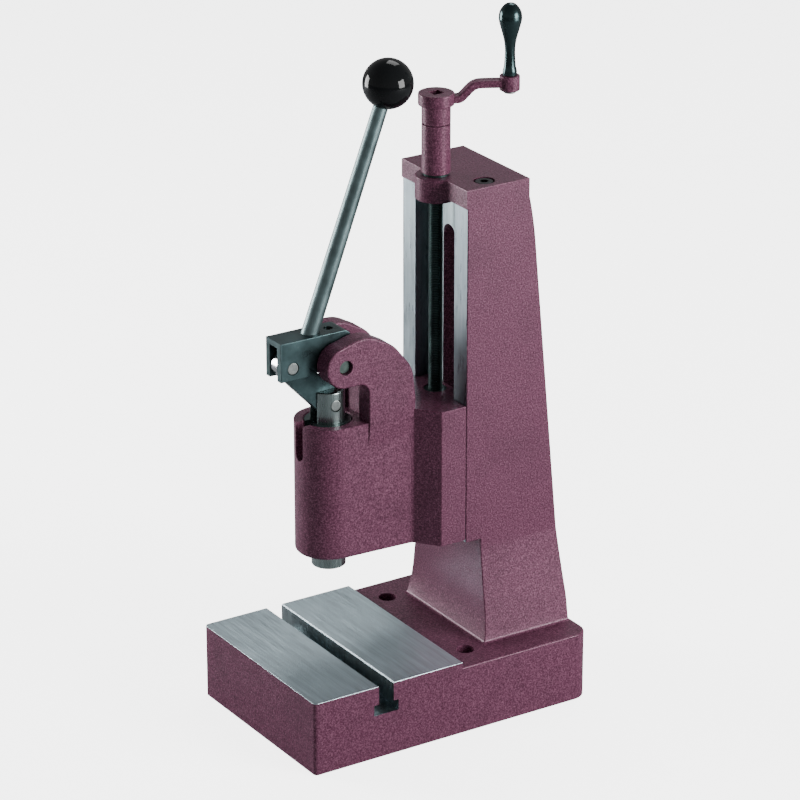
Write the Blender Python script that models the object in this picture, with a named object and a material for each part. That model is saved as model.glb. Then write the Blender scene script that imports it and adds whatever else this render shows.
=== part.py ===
"""Bench toggle press: a cast frame with a guided head that a crank raises and lowers, and a lever that
pushes a ram down through a toggle (knee) link.

Frame of reference: X across the press, Y from the front (-) to the back (+), Z up. The origin is the
centre of the base's footprint, on the bench. Lengths are in millimetres until a mesh is made.
"""

import math

import bmesh
import bpy
from mathutils import Matrix, Vector

MM = 0.001
GAP = 0.3  # between pieces that touch or run on each other
TURN = 2 * math.pi
UP = (0, 0, 1)
DOWN = (0, 0, -1)
ACROSS = (1, 0, 0)
BACKWARDS = (0, 1, 0)

# Driving dimensions
BASE_WIDTH = 150.0
BASE_DEPTH = 230.0
TABLE_TOP = 55.2
BASE_TOP = 51.0  # the painted shelf behind the ground table
COLUMN_TOP = 375.0
RAM_Y = -57.0  # the ram's axis, over the T-slot
SPINDLE_Y = 31.3  # the lead screw's axis, in the plane of the guide rails

# Base
FRONT = -BASE_DEPTH / 2
BACK = BASE_DEPTH / 2
TABLE_BACK = 6.0
SLOT_NECK = 12.0
SLOT_NECK_DEPTH = 14.0
SLOT_WIDTH = 20.0
SLOT_DEPTH = 22.0
CAVITY_WALL = 14.0
CAVITY_DEPTH = 16.0
BOLT_HOLE = 13.0
BOLT_X = 51.0
BOLT_Y = 24.0

# Column
COLUMN_HALF = 41.0
FOOT_HALF = 51.0
FLARE_TOP = 122.0
FLARE_BEND = 1.2  # 1 would be a straight flare
FOOT_REACH = 5.0  # how far the wall below the rails comes forward at its foot
FOOT_TOP = 75.0
RAIL_FRONT = 30.6
GROOVE_HALF = 24.7
GROOVE_FLOOR = 42.5
WALL_FRONT = 43.2  # the cast wall below the rails
WALL_BACK = 54.5
RAIL_BOTTOM = 128.0
BACK_AT_TOP = 82.0
BACK_AT_SHOULDER = 87.5
SHOULDER_Z = 341.0
POCKET_HALF = 30.0
SLIT_HALF = 7.0
SLIT_BOTTOM = 141.0
SLIT_TOP = 350.0

# Top plate and spindle
PLATE_TOP = 388.5
LUG_RADIUS = 14.5
LUG_BOTTOM = 371.5
LUG_FILLET = 5.0
PLATE_HALF = COLUMN_HALF
PLATE_BACK = 81.0
PLATE_FRONT = 29.8
PLATE_SCREW_X = 29.0
PLATE_SCREW_Y = 51.5
CAP_SCREW = 4.0  # shank radius of the M8 socket screws
CAP_HEAD = 6.5
CAP_HEAD_HEIGHT = 8.0
COUNTERBORE = 7.5
COUNTERBORE_DEPTH = 8.6
THREAD_RADIUS = 5.0
JOURNAL_RADIUS = 6.0
SHOULDER_RADIUS = 7.2  # the spindle's shoulder, which bears up against the plate
SHOULDER_TOP = 376.7
SCREW_BOTTOM = 186.0
WASHER_HEIGHT = 1.2
SLEEVE_RADIUS = 10.0
SLEEVE_TOP = 425.2
HUB_BOTTOM = 438.6
HUB_TOP = 447.0
HUB_RADIUS = 12.5
SQUARE_HALF = 3.9
SQUARE_TOP = 442.0
SET_SCREW_Z = 432.0
SET_SCREW = 2.0
CRANK_RADIUS = 50.0
CRANK_ANGLE = math.radians(62)
BOSS_BOTTOM = 447.4
BOSS_TOP = 458.0
BOSS_RADIUS = 7.0
ARM_HALF = (4.5, 2.7)  # half the arm's width and thickness
GRIP_TOP = 509.0
GRIP_PIN = 2.0
GRIP_PIN_SHANK = 3.0
GRIP_BORE_TOP = 491.0

# Head
HEAD_BOTTOM = 130.0
HEAD_RIM = 228.0
FLANGE_TOP = 231.0
HEAD_RADIUS = 23.4
FLANGE_FRONT = 10.3
FLANGE_BACK = RAIL_FRONT - GAP
TONGUE_HALF = GROOVE_HALF - GAP
TONGUE_BACK = GROOVE_FLOOR - GAP
EAR_INNER = 10.5
EAR_OUTER = 25.0
EAR_NOSE = 15.0
EAR_FOOT = 205.0
PIVOT_Z = 273.0
BORE_RADIUS = 16.5  # holds the return spring and the upper bush
LOWER_BUSH_RADIUS = 15.0
LOWER_BUSH_TOP = 142.0
UPPER_BUSH_BOTTOM = 214.0
NUT_RADIUS = 8.3
NUT_BOTTOM = 208.0
NUT_LENGTH = 22.4
CLAMP_HEIGHTS = (158.0, 197.0)
CLAMP_THICK = 10.0
CLAMP_WASHER = 1.6
CLAMP_SCREW_END = 37.3  # how far forward the clamp screws reach, in the tongue
GUIDE_Z = 136.0
GUIDE_SCREW = 3.0
NOSE_SLOT_HALF = 4.6
NOSE_SLOT_BOTTOM = 201.0
PIVOT_BUSH = 7.0

# Toggle
PIVOT_PIN = 5.0
KNEE_PIN = 4.25
RAM_PIN = 4.0
KNEE_Y = -90.0
KNEE_Z = 274.5
CLEVIS_Z = 240.7
RAM_RADIUS = 12.0
RAM_BOTTOM = 118.5
RAM_TOP = 250.5
RAM_EDGE = 1.0
TOOL_BORE = 5.0
TOOL_BORE_DEPTH = 30.0
TOOL_SCREW = 2.5
TOOL_SCREW_Z = 124.0
KEYWAY_HALF = 2.4
FORK_FLOOR = 226.5
FORK_HALF = 4.5
LINK_HALF = 4.0
LINK_NOSE = 9.3
LINK_EYE = 10.0
LINK_EYE_HOLE = 7.5  # a clearance hole: it lets the open pivot of the linkage wander
BLOCK_HALF = 10.0
BLOCK_SLOT_HALF = 4.9
BLOCK_FRONT = -99.6
BLOCK_TOP = 294.0
BLOCK_BOTTOM = 266.0
COLLAR_Z = 208.0
COLLAR_HEIGHT = 3.0
COLLAR_GROOVE = 11.0
SPRING_BOTTOM = 142.6
SPRING_TURNS = 8.5
SPRING_RADIUS = 14.0
SPRING_WIRE = 0.9
ROD_LEAN = math.radians(20.8)
ROD_RADIUS = 6.0
ROD_NECK = 5.2
ROD_SEAT_DEPTH = 9.0
ROD_THREAD = 4.0
PIVOT_SET_SCREW = 3.0
ROD_LENGTH = 191.0
BALL_RADIUS = 17.5
BALL_FROM_SEAT = 179.1
SEAT_Y = -71.0  # where the lever rod's axis leaves the block's top
SEAT_Z = 292.5

PIVOT = (0, RAM_Y, PIVOT_Z)
KNEE = (0, KNEE_Y, KNEE_Z)
CLEVIS = (0, RAM_Y, CLEVIS_Z)
CRANK_OUT = Vector((math.cos(CRANK_ANGLE), math.sin(CRANK_ANGLE), 0))
GRIP_AXIS = Vector((0, SPINDLE_Y, 0)) + CRANK_RADIUS * CRANK_OUT
ROD_WAY = Vector((0, math.sin(ROD_LEAN), math.cos(ROD_LEAN)))
BALL_CENTRE = Vector((0, SEAT_Y, SEAT_Z)) + BALL_FROM_SEAT * ROD_WAY

# Finishes: colour, metallic, roughness
FINISHES = {
    "purple_paint": ((0.22, 0.09, 0.15), 0.3, 0.42),
    "ground_steel": ((0.36, 0.41, 0.42), 1.0, 0.38),
    "dark_steel": ((0.07, 0.12, 0.12), 1.0, 0.36),
    "bright_steel": ((0.58, 0.60, 0.60), 1.0, 0.25),
    "black_plastic": ((0.01, 0.012, 0.012), 0.0, 0.12),
    "bronze": ((0.55, 0.36, 0.14), 1.0, 0.35),
    "spring_steel": ((0.30, 0.31, 0.33), 1.0, 0.40),
}


def place(axis, u, v, w):
    """A point at u, v in the plane that an extrusion along the axis starts from, and at w along it."""
    return {"x": (w, u, v), "y": (u, w, v), "z": (u, v, w)}[axis]


def arc(centre, radius, start, end, steps):
    """Points of an arc, with its angles in degrees from the outline's first axis."""
    angles = (math.radians(start + (end - start) * k / steps) for k in range(steps + 1))
    return [(centre[0] + radius * math.cos(a), centre[1] + radius * math.sin(a)) for a in angles]


def outline(corners, steps=4):
    """An outline through corners (u, v, radius), each with a radius rounded by an arc."""
    points = []
    for i, (u, v, radius) in enumerate(corners):
        corner = Vector((u, v))
        if not radius:
            points.append((u, v))
            continue
        before = (Vector(corners[i - 1][:2]) - corner).normalized()
        after = (Vector(corners[(i + 1) % len(corners)][:2]) - corner).normalized()
        half = before.angle(after) / 2
        centre = corner + (before + after).normalized() * radius / math.sin(half)
        first = corner + before * radius / math.tan(half) - centre
        last = corner + after * radius / math.tan(half) - centre
        start = math.atan2(first.y, first.x)
        sweep = (math.atan2(last.y, last.x) - start + math.pi) % TURN - math.pi
        for k in range(steps + 1):
            angle = start + sweep * k / steps
            points.append((centre.x + radius * math.cos(angle), centre.y + radius * math.sin(angle)))
    return points


def mirrored(half):
    """A half outline on the +X side, from the front to the back, closed by its mirror image."""
    return half + [(-x, y) for x, y in reversed(half)]


def finish_mesh(name, bm):
    bmesh.ops.recalc_face_normals(bm, faces=bm.faces)
    mesh = bpy.data.meshes.new(name)
    bm.to_mesh(mesh)
    bm.free()
    piece = bpy.data.objects.new(name, mesh)
    bpy.context.scene.collection.objects.link(piece)
    return piece


def loft(name, rings):
    """A closed body through rings of points, capped at both ends."""
    bm = bmesh.new()
    loops = [[bm.verts.new(Vector(point) * MM) for point in ring] for ring in rings]
    count = len(loops[0])
    for lower, upper in zip(loops, loops[1:]):
        for i in range(count):
            j = (i + 1) % count
            bm.faces.new((lower[i], lower[j], upper[j], upper[i]))
    bm.faces.new(loops[0][::-1])
    bm.faces.new(loops[-1])
    return finish_mesh(name, bm)


def prism(name, points, axis, low, high):
    return loft(name, [[place(axis, u, v, w) for u, v in points] for w in (low, high)])


def block(name, low, high):
    corners = [(low[0], low[1]), (high[0], low[1]), (high[0], high[1]), (low[0], high[1])]
    return prism(name, corners, "z", low[2], high[2])


def turned(name, profile, base, way=UP, steps=32, hollow=False):
    """A profile of (radius, height) turned about the line through base. A hollow one is a closed ring."""
    bm = bmesh.new()
    turn = Matrix.Translation(base) @ Vector(UP).rotation_difference(Vector(way)).to_matrix().to_4x4()
    rings = []
    for radius, height in profile:
        count = steps if radius else 1
        angles = [TURN * k / steps for k in range(count)]
        points = [Vector((radius * math.cos(a), radius * math.sin(a), height)) for a in angles]
        rings.append([bm.verts.new(turn @ point * MM) for point in points])
    ends = rings[1:] + rings[:1] if hollow else rings[1:]
    for lower, upper in zip(rings, ends):
        for k in range(steps):
            n = (k + 1) % steps
            corners = [lower[k % len(lower)], lower[n % len(lower)]]
            corners += [upper[n % len(upper)], upper[k % len(upper)]]
            bm.faces.new(list(dict.fromkeys(corners)))
    return finish_mesh(name, bm)


def rod(name, radius, base, way, length, chamfer=0.0, steps=32):
    profile = [(0, 0), (radius - chamfer, 0), (radius, chamfer), (radius, length - chamfer)]
    profile += [(radius - chamfer, length), (0, length)]
    if not chamfer:
        profile = [(0, 0), (radius, 0), (radius, length), (0, length)]
    return turned(name, profile, base, way, steps)


def tube(name, inner, outer, base, way, length, steps=32):
    profile = [(inner, 0), (outer, 0), (outer, length), (inner, length)]
    return turned(name, profile, base, way, steps, hollow=True)


def triangulated(mesh):
    """The mesh in triangles: a face with a hole in it may not survive a chain of Booleans."""
    bm = bmesh.new()
    bm.from_mesh(mesh)
    bmesh.ops.triangulate(bm, faces=bm.faces)
    bm.to_mesh(mesh)
    bm.free()
    return mesh


def combine(piece, operation, *tools):
    """Joins the tools to the piece or cuts them from it, one at a time, and removes them."""
    for tool in tools:
        change = piece.modifiers.new(tool.name, "BOOLEAN")
        change.operation = operation
        change.solver = "EXACT"
        change.object = tool
        bpy.context.view_layer.update()
        graph = bpy.context.evaluated_depsgraph_get()
        mesh = bpy.data.meshes.new_from_object(piece.evaluated_get(graph))
        piece.modifiers.clear()
        piece.data = triangulated(mesh)
        bpy.data.objects.remove(tool, do_unlink=True)
    return piece


def cut(piece, *tools):
    return combine(piece, "DIFFERENCE", *tools)


def join(piece, *tools):
    return combine(piece, "UNION", *tools)


def column_back(z):
    """The column's sloping back: straight up to the shoulder, then rounded in under the plate."""
    slope = (BACK_AT_SHOULDER - BACK) / (SHOULDER_Z - BASE_TOP)
    straight = BACK_AT_SHOULDER + slope * (z - SHOULDER_Z)
    rise = max(0.0, (z - SHOULDER_Z) / (COLUMN_TOP - SHOULDER_Z))
    top = BACK_AT_SHOULDER + slope * (COLUMN_TOP - SHOULDER_Z)
    return straight - (top - BACK_AT_TOP) * rise**2


def column_ring(z):
    flare = max(0.0, (FLARE_TOP - z) / (FLARE_TOP - BASE_TOP))
    half = COLUMN_HALF + (FOOT_HALF - COLUMN_HALF) * min(flare, 1) ** FLARE_BEND
    foot = max(0.0, (FOOT_TOP - z) / (FOOT_TOP - BASE_TOP))
    front = RAIL_FRONT if z >= RAIL_BOTTOM else WALL_FRONT - FOOT_REACH * min(foot, 1) ** 2
    back = min(column_back(z), BACK - 0.2)
    return [(-half, front, z), (half, front, z), (half, back, z), (-half, back, z)]


def make_frame():
    """The base and column, one casting."""
    half = BASE_WIDTH / 2
    plan = outline([(-half, FRONT, 3), (half, FRONT, 3), (half, BACK, 12), (-half, BACK, 12)])
    frame = prism("press_frame", plan, "z", 0, BASE_TOP)
    front_corners = [(-half, FRONT, 3), (half, FRONT, 3), (half, TABLE_BACK, 0), (-half, TABLE_BACK, 0)]
    front_plan = outline(front_corners)
    table = prism("table", front_plan, "z", BASE_TOP - 20, TABLE_TOP)
    heights = [45, BASE_TOP, 54, 58, 63, 69, 75, 88, 104, FLARE_TOP, RAIL_BOTTOM - 2, RAIL_BOTTOM]
    heights += [SHOULDER_Z, 353, 364, COLUMN_TOP]
    column = loft("column", [column_ring(z) for z in heights])
    join(frame, table, column)
    neck = block("neck", (-80, RAM_Y - SLOT_NECK / 2, TABLE_TOP - 16), (80, RAM_Y + SLOT_NECK / 2, 60))
    tee_low = (-80, RAM_Y - SLOT_WIDTH / 2, TABLE_TOP - SLOT_DEPTH)
    tee = block("tee", tee_low, (80, RAM_Y + SLOT_WIDTH / 2, TABLE_TOP - SLOT_NECK_DEPTH))
    wide, deep = half - CAVITY_WALL, BACK - CAVITY_WALL
    under = block("under", (-wide, -deep, -5), (wide, deep, CAVITY_DEPTH))
    groove = block("groove", (-GROOVE_HALF, 20, RAIL_BOTTOM - 8), (GROOVE_HALF, GROOVE_FLOOR, 380))
    slit_low, slit_high = SLIT_BOTTOM + SLIT_HALF, SLIT_TOP - SLIT_HALF
    slit_shape = arc((0, slit_high), SLIT_HALF, 0, 180, 10) + arc((0, slit_low), SLIT_HALF, 180, 360, 10)
    slit = prism("slit", slit_shape, "y", 38, 60)
    low_pocket = block("low_pocket", (-34, WALL_BACK, 62), (34, 130, 100))
    pocket = block("pocket", (-POCKET_HALF, WALL_BACK, 110), (POCKET_HALF, 130, 345))
    tools = [neck, tee, under, groove, slit, low_pocket, pocket]
    for side in (-1, 1):
        tools.append(rod("bolt", BOLT_HOLE / 2, (side * BOLT_X, BOLT_Y, -5), UP, 65, steps=24))
        tapped_base = (side * PLATE_SCREW_X, PLATE_SCREW_Y, COLUMN_TOP - 20)
        tools.append(rod("tapped", CAP_SCREW + GAP, tapped_base, UP, 30, steps=24))
    return cut(frame, *tools)


def make_top_plate():
    """The plate that closes the column and carries the spindle in a round lug."""
    reach = LUG_RADIUS + LUG_FILLET
    fillet_x = math.sqrt(reach**2 - (LUG_FILLET + SPINDLE_Y - PLATE_FRONT) ** 2)
    fillet = (fillet_x, PLATE_FRONT - LUG_FILLET)
    tangent = math.degrees(math.atan2(fillet[1] - SPINDLE_Y, fillet[0]))
    lug_side = arc((0, SPINDLE_Y), LUG_RADIUS, -90, tangent, 8)
    hollow_side = arc(fillet, LUG_FILLET, 180 + tangent, 90, 5)
    half = lug_side + hollow_side + [(PLATE_HALF, PLATE_FRONT), (PLATE_HALF, PLATE_BACK)]
    plate = prism("top_plate", mirrored(half[1:]), "z", COLUMN_TOP + GAP, PLATE_TOP)
    lug_round = arc((0, SPINDLE_Y), LUG_RADIUS, -90 + 9, 50, 12)
    lug_plan = mirrored([point for point in lug_round if point[1] < GROOVE_FLOOR - GAP])
    join(plate, prism("lug", lug_plan, "z", LUG_BOTTOM, 380))
    below = (0, SPINDLE_Y, 360)
    journal = rod("journal", JOURNAL_RADIUS + GAP, below, UP, 40)
    shoulder = rod("shoulder", SHOULDER_RADIUS + GAP, below, UP, SHOULDER_TOP + GAP - 360)
    tools = [journal, shoulder]
    for side in (-1, 1):
        centre = (side * PLATE_SCREW_X, PLATE_SCREW_Y)
        tools.append(rod("hole", CAP_SCREW + GAP, (*centre, 0), UP, 400, steps=24))
        tools.append(rod("sink", COUNTERBORE, (*centre, PLATE_TOP - COUNTERBORE_DEPTH), UP, 20, steps=24))
    return cut(plate, *tools)


def cap_screw(name, length, seat, way):
    """An M8 socket head cap screw: way points from the seat of its head down its shank."""
    away = -Vector(way)
    edge = 0.6
    profile = [(0, -length), (CAP_SCREW - edge, -length), (CAP_SCREW, 0.8 - length), (CAP_SCREW, 0)]
    profile += [(CAP_HEAD, 0), (CAP_HEAD, CAP_HEAD_HEIGHT - edge), (CAP_HEAD - edge, CAP_HEAD_HEIGHT)]
    profile.append((0, CAP_HEAD_HEIGHT))
    screw = turned(name, profile, seat, away, steps=24)
    socket_seat = Vector(seat) + away * CAP_HEAD_HEIGHT / 2
    return cut(screw, rod("socket", CAP_SCREW * 0.8, socket_seat, away, CAP_HEAD_HEIGHT, steps=6))


def make_plate_screws():
    seat_z = PLATE_TOP - COUNTERBORE_DEPTH + GAP
    screws = []
    for word, side in (("left", -1), ("right", 1)):
        seat = (side * PLATE_SCREW_X, PLATE_SCREW_Y, seat_z)
        screws.append(cap_screw(f"top_plate_screw_{word}", 20, seat, DOWN))
    return screws


def make_lead_screw():
    """The spindle: thread, the shoulder under the plate, journal, and the square that the crank fits."""
    heights = [(0, SCREW_BOTTOM), (THREAD_RADIUS - 1, SCREW_BOTTOM), (THREAD_RADIUS, SCREW_BOTTOM + 1)]
    heights += [(THREAD_RADIUS, LUG_BOTTOM), (SHOULDER_RADIUS, LUG_BOTTOM + GAP)]
    heights += [(SHOULDER_RADIUS, SHOULDER_TOP), (JOURNAL_RADIUS, SHOULDER_TOP)]
    heights += [(JOURNAL_RADIUS, SLEEVE_TOP), (0, SLEEVE_TOP)]
    screw = turned("lead_screw", heights, (0, SPINDLE_Y, 0))
    low = (-SQUARE_HALF, SPINDLE_Y - SQUARE_HALF, SLEEVE_TOP - 5)
    return join(screw, block("square", low, (SQUARE_HALF, SPINDLE_Y + SQUARE_HALF, SQUARE_TOP)))


def make_spindle_pieces():
    inner = JOURNAL_RADIUS + GAP
    washer_base = (0, SPINDLE_Y, PLATE_TOP + GAP)
    washer = tube("thrust_washer", inner, SLEEVE_RADIUS - 0.7, washer_base, UP, WASHER_HEIGHT)
    sleeve_low = PLATE_TOP + 2 * GAP + WASHER_HEIGHT
    sleeve_base = (0, SPINDLE_Y, sleeve_low)
    sleeve = tube("spindle_sleeve", inner, SLEEVE_RADIUS, sleeve_base, UP, SLEEVE_TOP - sleeve_low)
    return [make_lead_screw(), washer, sleeve]


def crank_arm():
    """The crank's flat arm: out from the hub, up in an S-bend, and level to the boss."""
    path = [(9.0, 442.4), (13.5, 442.4), (17.0, 443.4), (23.0, 449.6), (26.5, 451.9)]
    path += [(31.0, 452.6), (45.0, 452.6)]
    wide, thick = ARM_HALF
    section = outline([(-wide, -thick, 1.2), (wide, -thick, 1.2), (wide, thick, 1.2), (-wide, thick, 1.2)], 2)
    across = Vector((-CRANK_OUT.y, CRANK_OUT.x, 0))
    rings = []
    for i, (reach, z) in enumerate(path):
        before, after = path[max(i - 1, 0)], path[min(i + 1, len(path) - 1)]
        slope = Vector((after[0] - before[0], after[1] - before[1])).normalized()
        centre = Vector((0, SPINDLE_Y, z)) + reach * CRANK_OUT
        up = CRANK_OUT * -slope.y + Vector((0, 0, slope.x))
        rings.append([centre + across * u + up * v for u, v in section])
    return loft("arm", rings)


def make_crank():
    """Neck, hub, S-bent arm and handle boss in one piece, with the square hole for the spindle."""
    neck_low = SLEEVE_TOP + 0.4
    edge = 0.6
    profile = [(0, neck_low), (SLEEVE_RADIUS, neck_low), (SLEEVE_RADIUS, HUB_BOTTOM)]
    profile += [(HUB_RADIUS, HUB_BOTTOM), (HUB_RADIUS, HUB_TOP - edge), (HUB_RADIUS - edge, HUB_TOP)]
    profile.append((0, HUB_TOP))
    crank = turned("crank_handle", profile, (0, SPINDLE_Y, 0))
    boss_base = (GRIP_AXIS.x, GRIP_AXIS.y, BOSS_BOTTOM)
    boss = rod("boss", BOSS_RADIUS, boss_base, UP, BOSS_TOP - BOSS_BOTTOM, edge, 24)
    join(crank, crank_arm(), boss)
    hole = SQUARE_HALF + GAP
    square = block("square", (-hole, SPINDLE_Y - hole, 420), (hole, SPINDLE_Y + hole, 450))
    bore = rod("bore", GRIP_PIN_SHANK + GAP, (*boss_base[:2], 440), UP, 30, steps=24)
    set_hole = rod("set_hole", SET_SCREW + GAP, (0, SPINDLE_Y, SET_SCREW_Z), (-1, 0, 0), 15, steps=16)
    return cut(crank, square, bore, set_hole)


def make_crank_pieces():
    """The turned handle, the headed pin it spins on, and the set screw that holds the crank."""
    grip_low = BOSS_TOP + GAP
    length = GRIP_TOP - grip_low
    shape = [(4.85, 0.0), (4.85, 0.06), (4.1, 0.12), (3.6, 0.27), (3.65, 0.38), (4.5, 0.50)]
    shape += [(6.4, 0.64), (7.8, 0.75), (8.0, 0.80), (7.5, 0.87), (5.9, 0.93), (3.4, 0.98), (1.2, 0.995)]
    profile = [(0, grip_low)] + [(r, grip_low + length * share) for r, share in shape] + [(0, GRIP_TOP)]
    axis = (GRIP_AXIS.x, GRIP_AXIS.y, 0)
    grip = turned("crank_grip", profile, axis, steps=24)
    cut(grip, rod("grip_bore", GRIP_PIN + GAP, (*axis[:2], 450), UP, GRIP_BORE_TOP - 450, steps=24))
    head_low, head_top, step = BOSS_BOTTOM - 1.8, BOSS_BOTTOM - GAP, BOSS_TOP - 0.4
    pin_profile = [(0, head_low), (3.9, head_low), (4.5, head_low + 0.6), (4.5, head_top)]
    pin_profile += [(GRIP_PIN_SHANK, head_top), (GRIP_PIN_SHANK, step), (GRIP_PIN, step)]
    pin_profile += [(GRIP_PIN, GRIP_BORE_TOP - 1), (0, GRIP_BORE_TOP - 1)]
    pin = turned("crank_grip_pin", pin_profile, axis, steps=24)
    set_base = (-SQUARE_HALF - 0.2, SPINDLE_Y, SET_SCREW_Z)
    set_screw = rod("crank_set_screw", SET_SCREW, set_base, (-1, 0, 0), 5.4, 0.3, 16)
    return grip, pin, set_screw


def ear_outline():
    """Side view of the cheek that carries the lever's pivot: a hook over the ram, (y, z)."""
    window_back = RAM_Y + 18.6
    hook = arc((RAM_Y, PIVOT_Z), EAR_NOSE, 270, 95, 14)
    window_top = PIVOT_Z - EAR_NOSE
    back = [(-50, 290.3, 12), (-39.1, 292.4, 24), (-18.4, 281.3, 26), (-3.2, 262, 22)]
    back += [(-0.8, 240, 0), (-0.8, EAR_FOOT, 0)]
    window = [(window_back, EAR_FOOT, 0), (window_back, window_top, 8), (RAM_Y + 2, window_top, 0)]
    start = [(*hook[-1], 0)]
    return hook[:-1] + outline(start + back + window, 5)


def make_head():
    """The sliding head: a round-nosed body for the ram, a guide flange with a tongue, and two cheeks."""
    round_front = arc((0, RAM_Y), HEAD_RADIUS, -90, 0, 14)[1:]
    flange = [(24, -3), (COLUMN_HALF, FLANGE_FRONT), (COLUMN_HALF, FLANGE_BACK)]
    flange += [(TONGUE_HALF, FLANGE_BACK), (TONGUE_HALF, TONGUE_BACK)]
    front = [(0, RAM_Y - HEAD_RADIUS)]
    plan = front + mirrored(round_front + flange)
    head = prism("press_head", plan, "z", HEAD_BOTTOM, FLANGE_TOP)
    cut(head, block("rim", (-50, -90, HEAD_RIM), (50, -2, FLANGE_TOP + 5)))
    web_shape = [(-35, 200), (-4, 200), (-4, 258), (-10, 262), (-29, 262), (-35, 256)]
    web = prism("web", web_shape, "x", -EAR_INNER - 1, EAR_INNER + 1)
    left = prism("left", ear_outline(), "x", -EAR_OUTER, -EAR_INNER)
    right = prism("right", ear_outline(), "x", EAR_INNER, EAR_OUTER)
    join(head, left, right, web)
    bore = rod("bore", BORE_RADIUS, (0, RAM_Y, LOWER_BUSH_TOP), UP, 90, steps=40)
    lower = rod("lower", LOWER_BUSH_RADIUS, (0, RAM_Y, 120), UP, 30, steps=40)
    slot_round = arc((0, NOSE_SLOT_BOTTOM + NOSE_SLOT_HALF), NOSE_SLOT_HALF, 180, 360, 8)
    slot_shape = slot_round + [(NOSE_SLOT_HALF, 240), (-NOSE_SLOT_HALF, 240)]
    slot = prism("slot", slot_shape, "y", RAM_Y - 30, RAM_Y - 8)
    spindle = rod("spindle", THREAD_RADIUS + 0.5, (0, SPINDLE_Y, 120), UP, 130, steps=24)
    nut = rod("nut", NUT_RADIUS, (0, SPINDLE_Y, NUT_BOTTOM), UP, 40, steps=24)
    pivot = rod("pivot", PIVOT_PIN + GAP, (-40, RAM_Y, PIVOT_Z), ACROSS, 80, steps=24)
    bush_seats = rod("bush_seats", PIVOT_BUSH + GAP, (-21, RAM_Y, PIVOT_Z), ACROSS, 42, steps=24)
    guide = rod("guide", GUIDE_SCREW + GAP, (-40, RAM_Y, GUIDE_Z), ACROSS, 30, steps=16)
    tap_starts = [(0, SPINDLE_Y + 2, z) for z in CLAMP_HEIGHTS]
    taps = [rod("tap", CAP_SCREW + GAP, start, BACKWARDS, 15, steps=16) for start in tap_starts]
    return cut(head, bore, lower, slot, spindle, nut, pivot, bush_seats, guide, *taps)


def make_clamp():
    """The clamp plate inside the column, its neck through the slit, and the two screws that draw it up."""
    front, back = WALL_BACK + GAP, WALL_BACK + GAP + CLAMP_THICK
    plate = block("clamp_plate", (-18, front, 148), (18, back, 207))
    side = SLIT_HALF - 0.4
    join(plate, block("neck", (-side, TONGUE_BACK + 2 * GAP, 150), (side, front + 2, 205)))
    pieces = [plate]
    hole_radius = CAP_SCREW + GAP
    for word, z in zip(("lower", "upper"), CLAMP_HEIGHTS):
        cut(plate, rod("hole", hole_radius, (0, 30, z), BACKWARDS, 50, steps=16))
        washer_base = (0, back + GAP, z)
        washer = tube(f"clamp_washer_{word}", hole_radius, 8, washer_base, BACKWARDS, CLAMP_WASHER, 24)
        seat = (0, back + 2 * GAP + CLAMP_WASHER, z)
        screw = cap_screw(f"clamp_screw_{word}", seat[1] - CLAMP_SCREW_END, seat, (0, -1, 0))
        pieces += [washer, screw]
    return pieces


def make_bushes():
    """The ram's bush at the foot of its bore, and one in each cheek for the pivot pin."""
    low = HEAD_BOTTOM + GAP
    lower_length = LOWER_BUSH_TOP - GAP - low
    lower_base = (0, RAM_Y, low)
    outer = LOWER_BUSH_RADIUS - GAP
    lower = tube("ram_bush_lower", RAM_RADIUS + GAP, outer, lower_base, UP, lower_length, 40)
    cut(lower, rod("guide", GUIDE_SCREW + GAP, (-20, RAM_Y, GUIDE_Z), ACROSS, 15, steps=16))
    pieces = [lower]
    for word, x in (("left", -20.7), ("right", 10.8)):
        base = (x, RAM_Y, PIVOT_Z)
        pieces.append(tube(f"pivot_bush_{word}", PIVOT_PIN + GAP, PIVOT_BUSH, base, ACROSS, 9.9, 24))
    return pieces


def make_steel_bushes():
    """The sleeve at the mouth of the ram's bore, slotted like the nose, and the spindle's nut."""
    length = HEAD_RIM - 0.4 - UPPER_BUSH_BOTTOM
    base = (0, RAM_Y, UPPER_BUSH_BOTTOM)
    upper = tube("ram_bush_upper", RAM_RADIUS + GAP, BORE_RADIUS - GAP, base, UP, length, 40)
    cut(upper, block("slot", (-4.7, RAM_Y - 20, 200), (4.7, RAM_Y - 6, 240)))
    nut_base = (0, SPINDLE_Y, NUT_BOTTOM + GAP)
    nut = tube("spindle_nut", THREAD_RADIUS + GAP, NUT_RADIUS - GAP, nut_base, UP, NUT_LENGTH, 24)
    return [upper, nut]


def make_guide_screw():
    """The dog-point screw that keeps the ram from turning."""
    point, thread_end, end = 2, 9.5, 12.6
    profile = [(0, 0), (GUIDE_SCREW, 0), (GUIDE_SCREW, thread_end), (point, thread_end)]
    profile += [(point, end), (0, end)]
    screw = turned("ram_guide_screw", profile, (-22.8, RAM_Y, GUIDE_Z), ACROSS, steps=16)
    return cut(screw, rod("socket", 1.7, (-26, RAM_Y, GUIDE_Z), ACROSS, 6, steps=6))


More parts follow.
